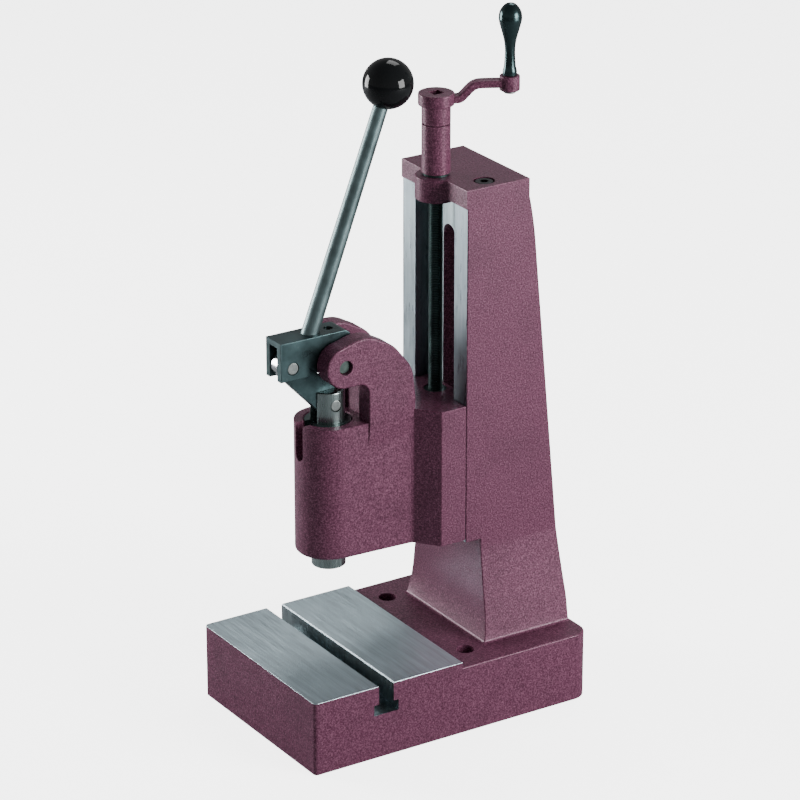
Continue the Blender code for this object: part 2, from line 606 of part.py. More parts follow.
def make_return_spring():
    """A compression spring on the ram, between the lower bush and the ram's collar."""
    height = COLLAR_Z - 2 * GAP - SPRING_BOTTOM - 2 * SPRING_WIRE
    count = int(SPRING_TURNS * 14)
    spine = bpy.data.curves.new("return_spring", "CURVE")
    spine.dimensions = "3D"
    spine.bevel_depth = SPRING_WIRE * MM
    spine.bevel_resolution = 1
    spine.use_fill_caps = True
    line = spine.splines.new("POLY")
    line.points.add(count)
    for i, point in enumerate(line.points):
        share = i / count
        angle = TURN * SPRING_TURNS * share
        x = SPRING_RADIUS * math.cos(angle)
        y = RAM_Y + SPRING_RADIUS * math.sin(angle)
        z = SPRING_BOTTOM + SPRING_WIRE + height * share
        point.co = (x * MM, y * MM, z * MM, 1)
    spring = bpy.data.objects.new("return_spring", spine)
    bpy.context.scene.collection.objects.link(spring)
    return spring


def make_ram():
    """The ram: a fork for the link, a groove for the spring collar, a keyway and a tool bore."""
    groove_low, groove_top = COLLAR_Z - GAP, COLLAR_Z + COLLAR_HEIGHT + GAP
    profile = [(0, RAM_BOTTOM), (RAM_RADIUS - RAM_EDGE, RAM_BOTTOM), (RAM_RADIUS, RAM_BOTTOM + RAM_EDGE)]
    profile += [(RAM_RADIUS, groove_low), (COLLAR_GROOVE, groove_low), (COLLAR_GROOVE, groove_top)]
    profile += [(RAM_RADIUS, groove_top), (RAM_RADIUS, RAM_TOP - RAM_EDGE)]
    profile += [(RAM_RADIUS - RAM_EDGE, RAM_TOP), (0, RAM_TOP)]
    ram = turned("ram", profile, (0, RAM_Y, 0), steps=40)
    fork = block("fork", (-FORK_HALF, RAM_Y - 20, FORK_FLOOR), (FORK_HALF, RAM_Y + 20, 260))
    keyway = block("keyway", (-15, RAM_Y - KEYWAY_HALF, 131), (-9.7, RAM_Y + KEYWAY_HALF, 184))
    bore = rod("bore", TOOL_BORE, (0, RAM_Y, 110), UP, RAM_BOTTOM + TOOL_BORE_DEPTH - 110, steps=24)
    pin = rod("pin", RAM_PIN + GAP, (-20, RAM_Y, CLEVIS_Z), ACROSS, 40, steps=24)
    clamp = rod("clamp", TOOL_SCREW + GAP, (0, RAM_Y + 4, TOOL_SCREW_Z), BACKWARDS, 12, steps=16)
    return cut(ram, fork, keyway, bore, pin, clamp)


def make_ram_pieces():
    """The link's pin in the fork, the spring's collar, and the grub screw that holds a tool."""
    pin = rod("ram_pin", RAM_PIN, (-11.4, RAM_Y, CLEVIS_Z), ACROSS, 22.8, 0.4, 24)
    collar = tube("spring_collar", COLLAR_GROOVE + GAP, 15.5, (0, RAM_Y, COLLAR_Z), UP, COLLAR_HEIGHT)
    grub = rod("tool_clamp_screw", TOOL_SCREW, (0, RAM_Y + 5.5, TOOL_SCREW_Z), BACKWARDS, 5.5, 0.3, 16)
    cut(grub, rod("socket", 1.5, (0, RAM_Y + 9, TOOL_SCREW_Z), BACKWARDS, 6, steps=6))
    return [pin, collar, grub]


def link_direction():
    way = Vector(CLEVIS) - Vector(KNEE)
    return math.degrees(math.atan2(way.z, way.y))


def make_link():
    """The toggle link: a wide round nose on the knee pin, and an eye in the ram's fork."""
    lean = link_direction()
    nose = arc((KNEE_Y, KNEE_Z), LINK_NOSE, lean + 90, lean + 270, 12)
    eye = arc((RAM_Y, CLEVIS_Z), LINK_EYE, lean - 90, lean + 90, 12)
    link = prism("toggle_link", nose + eye, "x", -LINK_HALF, LINK_HALF)
    knee = rod("knee", KNEE_PIN + GAP, (-10, KNEE_Y, KNEE_Z), ACROSS, 20, steps=24)
    clevis = rod("clevis", LINK_EYE_HOLE, (-10, RAM_Y, CLEVIS_Z), ACROSS, 20, steps=24)
    return cut(link, knee, clevis)


def make_lever_block():
    """The forked block that swings on the pivot pin: open to the front and below for the link."""
    eye = arc((RAM_Y, PIVOT_Z), 13.5, 0, -105, 8)
    shape = outline([(-70, BLOCK_BOTTOM, 4), (BLOCK_FRONT, BLOCK_BOTTOM, 0), (BLOCK_FRONT, BLOCK_TOP, 0)], 3)
    top = arc((-49.5, BLOCK_TOP - 6), 6, 90, 20, 4)
    lever = prism("lever_block", shape + top + eye, "x", -BLOCK_HALF, BLOCK_HALF)
    slot_shape = [(-102, 250), (-102, 290), (-87, 290), (-83, 281.4), (-54.6, 252.5)]
    slot = prism("slot", slot_shape, "x", -BLOCK_SLOT_HALF, BLOCK_SLOT_HALF)
    pivot = rod("pivot", PIVOT_PIN + GAP, (-20, RAM_Y, PIVOT_Z), ACROSS, 40, steps=24)
    knee = rod("knee", KNEE_PIN + GAP, (-20, KNEE_Y, KNEE_Z), ACROSS, 40, steps=24)
    seat_base = Vector((0, SEAT_Y, SEAT_Z)) - (ROD_SEAT_DEPTH + 0.5) * ROD_WAY
    seat = rod("seat", ROD_RADIUS + GAP, seat_base, ROD_WAY, 30, steps=24)
    grub = rod("grub", PIVOT_SET_SCREW + GAP, (0, RAM_Y + 1, PIVOT_Z), UP, 30, steps=16)
    return cut(lever, slot, pivot, knee, seat, grub)


def make_lever_pieces():
    """The pivot pin, the knee pin, and the set screw that holds the pivot pin in the block."""
    pivot = rod("pivot_pin", PIVOT_PIN, (-22, RAM_Y, PIVOT_Z), ACROSS, 44, 0.5, 24)
    knee = rod("knee_pin", KNEE_PIN, (-9.9, KNEE_Y, KNEE_Z), ACROSS, 19.8, 0.4, 24)
    grub = rod("pivot_set_screw", PIVOT_SET_SCREW, (0, RAM_Y + 1, PIVOT_Z + 5.4), UP, 14.8, 0.4, 16)
    cut(grub, rod("socket", 1.7, (0, RAM_Y + 1, PIVOT_Z + 17), UP, 6, steps=6))
    return [pivot, knee, grub]


def make_lever_rod():
    """A steel rod that tapers a little towards the ball, with a smaller threaded end inside it."""
    foot = Vector((0, SEAT_Y, SEAT_Z)) - ROD_SEAT_DEPTH * ROD_WAY
    neck = ROD_SEAT_DEPTH + BALL_FROM_SEAT - BALL_RADIUS - 0.4
    profile = [(0, 0), (ROD_RADIUS - 0.5, 0), (ROD_RADIUS, 0.5), (ROD_RADIUS, 14), (ROD_NECK, neck)]
    profile += [(ROD_THREAD, neck), (ROD_THREAD, ROD_LENGTH), (0, ROD_LENGTH)]
    lever = turned("lever_rod", profile, foot, ROD_WAY, steps=24)
    latitudes = [math.pi * k / 20 for k in range(1, 20)]
    ball = [(BALL_RADIUS * math.sin(a), -BALL_RADIUS * math.cos(a)) for a in latitudes]
    ball = [(0, -BALL_RADIUS)] + ball + [(0, BALL_RADIUS)]
    knob = turned("ball_knob", ball, BALL_CENTRE, ROD_WAY, steps=32)
    flat = rod("flat", 9, BALL_CENTRE - (BALL_RADIUS + 9) * ROD_WAY, ROD_WAY, 9.9, steps=24)
    hole = rod("hole", ROD_THREAD + GAP, BALL_CENTRE - 25 * ROD_WAY, ROD_WAY, 28.5, steps=24)
    cut(knob, hole, flat)
    return [lever, knob]


def make_material(name):
    colour, metallic, roughness = FINISHES[name]
    material = bpy.data.materials.new(name)
    material.diffuse_color = (*colour, 1)
    material.use_nodes = True
    shader = material.node_tree.nodes["Principled BSDF"]
    shader.inputs["Base Color"].default_value = (*colour, 1)
    shader.inputs["Metallic"].default_value = metallic
    shader.inputs["Roughness"].default_value = roughness
    return material


def dress(pieces, finish):
    """Each piece has its own copy of its finish, and smooth shading except at its edges."""
    for piece in pieces:
        material = make_material(finish)
        material.name = f"{piece.name}_{finish}"
        piece.data.materials.clear()
        piece.data.materials.append(material)
        if piece.type == "MESH":
            piece.data.shade_smooth()
            piece.data.set_sharp_from_angle(angle=math.radians(32))


def carry(name, point, pieces, parent=None):
    """An empty on a joint's axis that its moving pieces are parented to."""
    pivot = bpy.data.objects.new(name, None)
    bpy.context.scene.collection.objects.link(pivot)
    pivot.location = Vector(point) * MM - (parent.matrix_world.translation if parent else Vector())
    pivot.parent = parent
    bpy.context.view_layer.update()
    for piece in pieces:
        piece.parent = pivot
        piece.location = -pivot.matrix_world.translation
    return pivot


def main():
    for leftover in list(bpy.data.objects):
        bpy.data.objects.remove(leftover, do_unlink=True)

    frame, plate, plate_screws = make_frame(), make_top_plate(), make_plate_screws()
    screw, washer, sleeve = make_spindle_pieces()
    crank = make_crank()
    grip, grip_pin, set_screw = make_crank_pieces()
    head, clamp, bushes, steel_bushes = make_head(), make_clamp(), make_bushes(), make_steel_bushes()
    guide_screw, spring = make_guide_screw(), make_return_spring()
    ram, ram_pieces = make_ram(), make_ram_pieces()
    link, lever_block, lever_pieces = make_link(), make_lever_block(), make_lever_pieces()
    lever_rod, knob = make_lever_rod()

    dress([frame, plate, sleeve, crank, head], "purple_paint")
    dress([*plate_screws, screw, washer, *steel_bushes, guide_screw, grip], "dark_steel")
    dress([lever_block, lever_rod, link], "dark_steel")
    dress([set_screw, grip_pin, *clamp[1:], *ram_pieces, *lever_pieces], "bright_steel")
    dress([ram, clamp[0]], "ground_steel")
    dress(bushes, "bronze")
    dress([spring], "spring_steel")
    dress([knob], "black_plastic")

    spindle_pieces = [screw, washer, sleeve, crank, grip_pin, set_screw]
    spindle_body = carry("spindle_axis", (0, SPINDLE_Y, 0), spindle_pieces)
    carry("grip_axis", (GRIP_AXIS.x, GRIP_AXIS.y, 0), [grip], spindle_body)
    head_pieces = [head, *clamp, *bushes, *steel_bushes, guide_screw, spring]
    head_body = carry("head_slide", (0, 0, HEAD_BOTTOM), head_pieces)
    lever_body = carry("lever_axis", PIVOT, [lever_block, *lever_pieces, lever_rod, knob], head_body)
    carry("knee_axis", KNEE, [link], lever_body)
    carry("ram_slide", (0, RAM_Y, RAM_BOTTOM), [ram, *ram_pieces], head_body)


main()
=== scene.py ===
"""The finished look of the bench toggle press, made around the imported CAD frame.

The meshes are finely rounded and their finishes are procedural. Lengths are in millimetres until a mesh is
made. X runs across the press, Y from the front (-) to the back (+) and Z up, with the origin at the centre
of the base's footprint.
"""

import math

import bmesh
import bpy
from mathutils import Matrix, Vector


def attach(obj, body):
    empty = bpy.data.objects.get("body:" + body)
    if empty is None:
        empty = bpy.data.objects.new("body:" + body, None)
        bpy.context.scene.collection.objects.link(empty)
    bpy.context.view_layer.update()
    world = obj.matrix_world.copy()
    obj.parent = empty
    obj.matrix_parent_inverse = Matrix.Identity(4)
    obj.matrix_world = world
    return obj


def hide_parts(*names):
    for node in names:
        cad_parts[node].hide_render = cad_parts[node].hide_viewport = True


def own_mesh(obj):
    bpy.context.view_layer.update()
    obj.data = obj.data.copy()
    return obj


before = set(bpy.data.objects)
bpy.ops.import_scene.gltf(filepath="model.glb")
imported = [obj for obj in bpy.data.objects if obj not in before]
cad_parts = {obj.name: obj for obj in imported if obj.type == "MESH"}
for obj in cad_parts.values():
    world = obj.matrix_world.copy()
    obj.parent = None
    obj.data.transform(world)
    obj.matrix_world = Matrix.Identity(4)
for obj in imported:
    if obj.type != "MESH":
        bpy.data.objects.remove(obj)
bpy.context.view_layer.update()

MM = 0.001
GAP = 0.3  # the clearance between neighbouring pieces
TURN = 2 * math.pi
UP = (0, 0, 1)
ACROSS = (1, 0, 0)
BACKWARDS = (0, 1, 0)

# Radii of an M8 cap screw, its head and its counterbore
M8 = 4.0
HEAD_M8 = 6.5
COUNTERBORE = 7.5

# Base
BASE_HALF = 75.0
BASE_END = 115.0
TABLE_TOP = 55.2
TABLE_BACK = 6.0
BASE_TOP = 51.0
RAM_Y = -57.0
SPINDLE_Y = 31.3
SLOT_HALF = 6.0
TEE_HALF = 10.0
TEE_TOP = TABLE_TOP - 14
TEE_BOTTOM = TABLE_TOP - 22
LIP_INNER = (5.9, 54.3)
LIP_OUTER = (7.2, 55.6)
PAST_SIDE = 80.0
BOLT_X = 51.0
BOLT_Y = 24.0
BOLT_RADIUS = 6.5

# Column
COLUMN_TOP = 375.0
COLUMN_HALF = 41.0
FOOT_HALF = 51.0
FLARE_TOP = 122.0
FLARE_BEND = 1.2
FOOT_REACH = 3.0
FOOT_TOP = 75.0
FOOT_FILLET = 2.0
RAIL_FRONT = 30.6
GROOVE_HALF = 24.7
GROOVE_FLOOR = 42.5
WALL_FRONT = 43.2
WALL_BACK = 54.5
RAIL_BOTTOM = 128.0
BACK_AT_TOP = 82.0
BACK_AT_SHOULDER = 87.5
SHOULDER_Z = 341.0
SLIT_HALF = 7.0
SLIT_ENDS = (148.0, 343.0)
PAST_BACK = 130.0

# Top plate, spindle and crank
PLATE_TOP = 388.5
PLATE_HALF = COLUMN_HALF
PLATE_FRONT = 29.8
PLATE_BACK = 81.0
LUG_RADIUS = 14.5
LUG_BOTTOM = 371.5
LUG_FILLET = 5.0
PLATE_SCREW = (29.0, 51.5)
SINK_FLOOR = PLATE_TOP - 8.6
THREAD_RADIUS = 5.0
THREAD_ROOT = 4.25
THREAD_PITCH = 1.25
THREAD_ENDS = (186.0, 371.4)
JOURNAL_RADIUS = 6.0
SHOULDER_RADIUS = 7.5
SLEEVE_RADIUS = 10.0
SLEEVE_BOTTOM = PLATE_TOP + 2 * GAP + 1.2
SLEEVE_TOP = 425.2
HUB_BOTTOM = 438.6
HUB_TOP = 447.0
HUB_RADIUS = 12.5
SQUARE_HALF = 3.9
CRANK_ANGLE = math.radians(62)
CRANK_OUT = Vector((math.cos(CRANK_ANGLE), math.sin(CRANK_ANGLE), 0))
GRIP_AXIS = Vector((0, SPINDLE_Y, 0)) + 50.0 * CRANK_OUT
ARM_HALF_WIDTH = 4.5
ARM_HALF_HEIGHT = 2.7
BOSS_RADIUS = 7.0
BOSS_BOTTOM = 447.4
BOSS_TOP = 458.0
GRIP_TOP = 509.0

# Head
HEAD_BOTTOM = 130.0
HEAD_EDGE = 3.0
BOTTOM_STEPS = 6
FLANGE_EDGE = 0.45
TOP_STEPS = 3
FLANGE_START = -2.0
HEAD_RIM = 228.0
FLANGE_TOP = 231.0
FLANGE_BACK = RAIL_FRONT - GAP
HEAD_RADIUS = 23.4
NOSE_SLOT_HALF = 4.6
NOSE_SLOT_Z = 205.6
RAM_BORE = 16.5
RAM_BORE_FLOOR = 142.0
LOWER_BORE = 15.0
BORE_CHAMFER = 1.1
NUT_BORE = 8.3
NUT_SEAT = 208.0
FLANGE_FRONT = 10.3
TONGUE_HALF = GROOVE_HALF - GAP
TONGUE_BACK = GROOVE_FLOOR - GAP
EAR_INNER = 10.5
EAR_OUTER = 25.0
EAR_NOSE = 15.0
WINDOW_TOP = 258.0
PIVOT_Z = 273.0
CLAMP_HEIGHTS = (158.0, 197.0)
CLAMP_FRONT = WALL_BACK + GAP
CLAMP_BACK = CLAMP_FRONT + 10
WASHER_THICKNESS = 1.6

# Toggle, lever and ram. The knee is given as (y, z).
KNEE = (-90.0, 274.5)
CLEVIS_Z = 240.7
RAM_RADIUS = 12.0
RAM_BOTTOM = 118.5
RAM_TOP = 250.5
FORK_HALF = 4.5
FORK_FLOOR = 226.5
KEYWAY_HALF = 2.4
KEYWAY_ENDS = (131.0, 184.0)
TOOL_BORE = 5.0
COLLAR_Z = 208.0
COLLAR_GROOVE = 11.0
PIVOT_PIN = 5.0
KNEE_PIN = 4.25
RAM_PIN = 4.0
BLOCK_HALF = 10.0
BLOCK_FRONT = -99.6
BLOCK_TOP = 294.0
BLOCK_BOTTOM = 266.0
ROD_LEAN = math.radians(20.8)
ROD_WAY = Vector((0, math.sin(ROD_LEAN), math.cos(ROD_LEAN)))
ROD_SEAT = Vector((0, -71.0, 292.5))
ROD_DEPTH = 9.0
ROD_RADIUS = 6.0
ROD_END = 4.0
BALL_RADIUS = 17.5
BALL_REACH = 179.1
BALL_CENTRE = ROD_SEAT + BALL_REACH * ROD_WAY

# Return spring
SPRING_LOW = 142.6
SPRING_TURNS = 8.5
SPRING_WIRE = 0.9
SPRING_RADIUS = 14.0
SPRING_STEPS = 40

# Lights: where each hangs, its width and height, and its power in watts
LIGHTS = {
    "key": ((1500, 900, 620), (900, 900), 56),
    "front_left": ((-1300, -1000, 300), (700, 1100), 55),
    "overhead": ((-700, 900, 1900), (900, 900), 13),
}
LIGHTS_AIM = (0, 0, 230)
FLOOR_GLOW = 4.0
BACKDROP_STRENGTH = 4.8
SOFT_STRENGTH = 0.38

# Camera
LENS = 177.1
CAMERA_SPOT = Vector((2128.3, -1362.4, 1270.1))
CAMERA_AZIMUTH = math.radians(57.33)
CAMERA_PITCH = math.radians(22.40)


# ---------------- shapes


def place(axis, u, v, w):
    """A point at u, v in the plane that an extrusion along the axis starts from, and at w along it."""
    return {"x": (w, u, v), "y": (u, w, v), "z": (u, v, w)}[axis]


def arc(centre, radius, start, end, steps):
    """Points of an arc, with its angles in degrees from the outline's first axis."""
    angles = (math.radians(start + (end - start) * k / steps) for k in range(steps + 1))
    return [(centre[0] + radius * math.cos(a), centre[1] + radius * math.sin(a)) for a in angles]


def outline(corners, steps=8, closed=True):
    """A line through corners (u, v) or (u, v, radius), each with a radius rounded by an arc."""
    points = []
    last_corner = len(corners) - 1
    for i, (u, v, *rounding) in enumerate(corners):
        radius = rounding[0] if rounding else 0
        if not radius or not (closed or 0 < i < last_corner):
            points.append((u, v))
            continue
        corner = Vector((u, v))
        before = (Vector(corners[i - 1][:2]) - corner).normalized()
        after = (Vector(corners[(i + 1) % len(corners)][:2]) - corner).normalized()
        half = before.angle(after) / 2
        centre = corner + (before + after).normalized() * radius / math.sin(half)
        first = corner + before * radius / math.tan(half) - centre
        last = corner + after * radius / math.tan(half) - centre
        start = math.atan2(first.y, first.x)
        sweep = (math.atan2(last.y, last.x) - start + math.pi) % TURN - math.pi
        for k in range(steps + 1):
            angle = start + sweep * k / steps
            points.append((centre.x + radius * math.cos(angle), centre.y + radius * math.sin(angle)))
    return points


def through(points, steps):
    """A smooth line through the points (Catmull-Rom)."""
    line = []
    for i in range(len(points) - 1):
        a, b = Vector(points[i]), Vector(points[i + 1])
        before = Vector(points[i - 1]) if i else 2 * a - b
        after = Vector(points[i + 2]) if i + 2 < len(points) else 2 * b - a
        for k in range(steps):
            t = k / steps
            bend = 2 * a + (b - before) * t + (2 * before - 5 * a + 4 * b - after) * t**2
            line.append((bend + (3 * a - before - 3 * b + after) * t**3) / 2)
    return [tuple(p) for p in line] + [tuple(points[-1])]


def mirrored(half):
    """A half outline on the +X side, from the front to the back, closed by its mirror image."""
    return half + [(-x, y) for x, y in reversed(half)]


def new_object(name, data):
    """An object of the scene with this mesh, curve, light or camera."""
    thing = bpy.data.objects.new(name, data)
    bpy.context.scene.collection.objects.link(thing)
    return thing


def evaluated(piece):
    """The mesh that a piece's modifiers, or a curve's thickness, come to."""
    bpy.context.view_layer.update()
    graph = bpy.context.evaluated_depsgraph_get()
    return bpy.data.meshes.new_from_object(piece.evaluated_get(graph))


def finish_mesh(name, bm):
    """The mesh as an object, with doubled points merged and every face turned outwards."""
    bmesh.ops.remove_doubles(bm, verts=bm.verts, dist=1e-7)
    bmesh.ops.recalc_face_normals(bm, faces=bm.faces)
    mesh = bpy.data.meshes.new(name)
    bm.to_mesh(mesh)
    bm.free()
    return new_object(name, mesh)


def loft(name, rings):
    """A closed body through rings of points, capped at both ends."""
    bm = bmesh.new()
    loops = [[bm.verts.new(Vector(point) * MM) for point in ring] for ring in rings]
    count = len(loops[0])
    for lower, upper in zip(loops, loops[1:]):
        for i in range(count):
            j = (i + 1) % count
            bm.faces.new((lower[i], lower[j], upper[j], upper[i]))
    bm.faces.new(loops[0][::-1])
    bm.faces.new(loops[-1])
    return finish_mesh(name, bm)


def prism(name, points, axis, low, high):
    """An outline drawn along an axis from low to high."""
    return loft(name, [[place(axis, u, v, w) for u, v in points] for w in (low, high)])


def inset(points, depth):
    """A closed outline moved inwards: by the depth, or at each point by what depth(u, v) gives."""
    area = sum(a[0] * b[1] - b[0] * a[1] for a, b in zip(points, points[1:] + points[:1]))
    inwards = math.copysign(1, area)
    moved = []
    for i, (u, v) in enumerate(points):
        before, after = points[i - 1], points[(i + 1) % len(points)]
        first = Vector((before[1] - v, u - before[0])).normalized() * inwards
        second = Vector((v - after[1], after[0] - u)).normalized() * inwards
        reach = depth(u, v) if callable(depth) else depth
        step = (first + second) * reach / (1 + first.dot(second))
        moved.append((u + step.x, v + step.y))
    return moved


def rounded_prism(name, points, axis, low, high, low_edge=0.0, high_edge=0.0, steps=4):
    """A prism whose edges at its low and high end are rounded."""
    rings = []
    for end, way, edge in ((low, 1, low_edge), (high, -1, high_edge)):
        turns = [math.pi / 2 * k / steps for k in range(steps + 1)] if edge else [math.pi / 2]
        end_rings = []
        for turn in turns:
            ring = inset(points, edge * (1 - math.sin(turn)))
            w = end + way * edge * (1 - math.cos(turn))
            end_rings.append([place(axis, u, v, w) for u, v in ring])
        rings += end_rings[::way]
    return loft(name, rings)


def block(name, low, high):
    """A box from its low corner to its high one."""
    corners = [(low[0], low[1]), (high[0], low[1]), (high[0], high[1]), (low[0], high[1])]
    return prism(name, corners, "z", low[2], high[2])


def turned(name, profile, base, way=UP, steps=64, hollow=False):
    """A profile of (radius, height) turned about the line through base. A hollow one is a ring."""
    bm = bmesh.new()
    turn = Matrix.Translation(base) @ Vector(UP).rotation_difference(Vector(way)).to_matrix().to_4x4()
    rings = []
    for radius, height in profile:
        count = steps if radius > 0 else 1
        angles = [TURN * k / steps for k in range(count)]
        points = [Vector((radius * math.cos(a), radius * math.sin(a), height)) for a in angles]
        rings.append([bm.verts.new(turn @ point * MM) for point in points])
    ends = rings[1:] + rings[:1] if hollow else rings[1:]
    for lower, upper in zip(rings, ends):
        for k in range(steps):
            n = (k + 1) % steps
            corners = [lower[k % len(lower)], lower[n % len(lower)]]
            corners += [upper[n % len(upper)], upper[k % len(upper)]]
            bm.faces.new(list(dict.fromkeys(corners)))
    return finish_mesh(name, bm)


def rod(name, radius, base, way, length, edge=0.0, steps=48):
    """A round bar; its ends' edges are rounded by the edge radius."""
    corners = [(0, 0), (radius, 0, edge), (radius, length, edge), (0, length)]
    return turned(name, outline(corners, 4, closed=False), base, way, steps)


def tube(name, inner, outer, base, way, length, edge):
    """A round bar with a hole along it; all four edges are rounded by the edge radius."""
    corners = [(inner, 0, edge), (outer, 0, edge), (outer, length, edge), (inner, length, edge)]
    return turned(name, outline(corners, 3), base, way, hollow=True)


def combine(piece, operation, *tools):
    """Joins the tools to the piece or cuts them from it, one at a time, and removes them."""
    for tool in tools:
        change = piece.modifiers.new(tool.name, "BOOLEAN")
        change.operation = operation
        change.solver = "EXACT"
        change.object = tool
        mesh = evaluated(piece)
        piece.modifiers.clear()
        bm = bmesh.new()
        bm.from_mesh(mesh)
        bmesh.ops.triangulate(bm, faces=bm.faces)
        bm.to_mesh(mesh)
        bm.free()
        mesh.materials.clear()
        piece.data = mesh
        bpy.data.objects.remove(tool, do_unlink=True)
    return piece


def cut(piece, *tools):
    return combine(piece, "DIFFERENCE", *tools)


def join(piece, *tools):
    return combine(piece, "UNION", *tools)


def finish_faces(piece, finish, special):
    """One finish all over, and a special one on the faces whose centre and normal pass its test."""
    give(piece, finish, *[name for name, _ in special])
    for face in piece.data.polygons:
        centre = face.center / MM
        for number, (_, test) in enumerate(special, 1):
            if test(centre, face.normal):
                face.material_index = number


def give(piece, *finishes):
    """The named finishes as the piece's material slots, in that order."""
    piece.data.materials.clear()
    for name in finishes:
        piece.data.materials.append(MATERIALS[name])


def smooth(piece, angle=32):
    """Smooth shading except across edges sharper than the angle, with flat faces kept flat."""
    piece.data.shade_smooth()
    piece.data.set_sharp_from_angle(angle=math.radians(angle))
    shading = piece.modifiers.new("shading", "WEIGHTED_NORMAL")
    shading.mode = "FACE_AREA"
    shading.weight = 90
    shading.keep_sharp = True
    return piece


def show(piece, body, finish, *nodes):
    """The piece takes its finish, stands for its CAD nodes and rides on its body."""
    if not piece.data.materials:
        give(piece, finish)
    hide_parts(*nodes)
    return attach(piece, body)


# ---------------- finishes


class Nodes:
    """A material's node tree, with short ways to add and link nodes."""

    def __init__(self, name):
        self.material = bpy.data.materials.new(name)
        self.material.use_nodes = True
        self.tree = self.material.node_tree
        self.shader = self.tree.nodes["Principled BSDF"]

    def add(self, kind, **values):
        """A node of this kind; each value goes to the input or the setting that it is named after."""
        node = self.tree.nodes.new(kind)
        for key, value in values.items():
            if key in node.inputs.keys():
                node.inputs[key].default_value = value
            else:
                setattr(node, key, value)
        return node

    def link(self, source, target):
        self.tree.links.new(source, target)

    def place(self, scale):
        """The piece's own coordinates, in metres, stretched by the scale."""
        coordinates = self.add("ShaderNodeTexCoord")
        mapping = self.add("ShaderNodeMapping")
        mapping.inputs["Scale"].default_value = scale
        self.link(coordinates.outputs["Object"], mapping.inputs["Vector"])
        return mapping.outputs["Vector"]

    def noise(self, scale, detail=3.0, roughness=0.55, stretch=(1, 1, 1)):
        """Noise from 0 to 1 over the piece. A small stretch along an axis makes long strokes there."""
        node = self.add("ShaderNodeTexNoise", Scale=scale, Detail=detail, Roughness=roughness)
        self.link(self.place(stretch), node.inputs["Vector"])
        return node.outputs["Fac"]

    def ramp(self, value, stops):
        """The value turned into colours or greys, given as (position, colour) stops."""
        node = self.add("ShaderNodeValToRGB")
        elements = node.color_ramp.elements
        while len(elements) < len(stops):
            elements.new(0.5)
        for element, (position, colour) in zip(elements, stops):
            element.position = position
            element.color = (*colour, 1) if isinstance(colour, tuple) else (colour, colour, colour, 1)
        self.link(value, node.inputs["Fac"])
        return node.outputs["Color"]

    def spread(self, value, low, high, start=0.3, end=0.7):
        """The value's middle range, from start to end, spread over low to high."""
        node = self.add("ShaderNodeMapRange")
        for key, number in zip(("From Min", "From Max", "To Min", "To Max"), (start, end, low, high)):
            node.inputs[key].default_value = number
        self.link(value, node.inputs["Value"])
        return node.outputs["Result"]

    def mix(self, share, first, second, blend="MIX"):
        """The two colours mixed. A colour Mix node has its colours on inputs 6 and 7 and output 2."""
        node = self.add("ShaderNodeMix", data_type="RGBA", blend_type=blend)
        sockets = (node.inputs[0], node.inputs[6], node.inputs[7])
        for socket, value in zip(sockets, (share, first, second)):
            if isinstance(value, bpy.types.NodeSocket):
                self.link(value, socket)
            else:
                socket.default_value = (*value, 1) if isinstance(value, tuple) else value
        return node.outputs[2]

    def bump(self, height, distance, strength, under=None):
        """A bumped normal, laid over the one under it where there is one."""
        node = self.add("ShaderNodeBump", Distance=distance, Strength=strength)
        self.link(height, node.inputs["Height"])
        if under:
            self.link(under, node.inputs["Normal"])
        return node.outputs["Normal"]

    def fill(self, **sockets):
        """Sets or links the shader's sockets, named with _ for a space."""
        for key, value in sockets.items():
            socket = self.shader.inputs[key.replace("_", " ")]
            if isinstance(value, bpy.types.NodeSocket):
                self.link(value, socket)
            else:
                socket.default_value = value
        return self.material


def tint(colour, share):
    """The colour made darker or lighter."""
    return tuple(share * part for part in colour)


def hammered_paint(name, dark, middle, light):
    """Two-tone stoving paint on a casting: fine flecks, a pebbled skin and slow uneven patches."""
    n = Nodes(name)
    flecks = n.ramp(n.noise(950, 2.0, 0.6), [(0.30, dark), (0.50, middle), (0.72, light)])
    patches = n.spread(n.noise(28, 3.0), 0.86, 1.10)
    colour = n.mix(1.0, flecks, n.ramp(patches, [(0.0, 0.0), (1.0, 1.0)]), "MULTIPLY")
    pebbles = n.bump(n.noise(620, 2.0, 0.5), 0.00022, 0.55)
    skin = n.bump(n.noise(60, 2.0, 0.4), 0.0006, 0.25, pebbles)
    rough = n.spread(n.noise(420, 2.0), 0.31, 0.47)
    n.fill(Base_Color=colour, Roughness=rough, Normal=skin)
    return n.fill(Metallic=0.15, Specular_IOR_Level=0.28)


def ground_steel(name, colour, grain, shine):
    """Steel or iron left bright from the grinder. The grain's small number lies along the strokes."""
    n = Nodes(name)
    strokes = n.noise(260, 4.0, 0.7, grain)
    fine = n.noise(900, 2.0, 0.6, grain)
    stain = n.noise(22, 3.0, 0.6)
    tone = n.ramp(strokes, [(0.25, tint(colour, 0.72)), (0.55, colour), (0.8, tint(colour, 1.2))])
    worn = n.mix(n.spread(stain, 0.0, 0.35), tone, tint(colour, 0.6))
    rough = n.spread(fine, shine - 0.08, shine + 0.12)
    scratched = n.bump(strokes, 0.00003, 0.6)
    return n.fill(Base_Color=worn, Metallic=1.0, Roughness=rough, Normal=scratched)


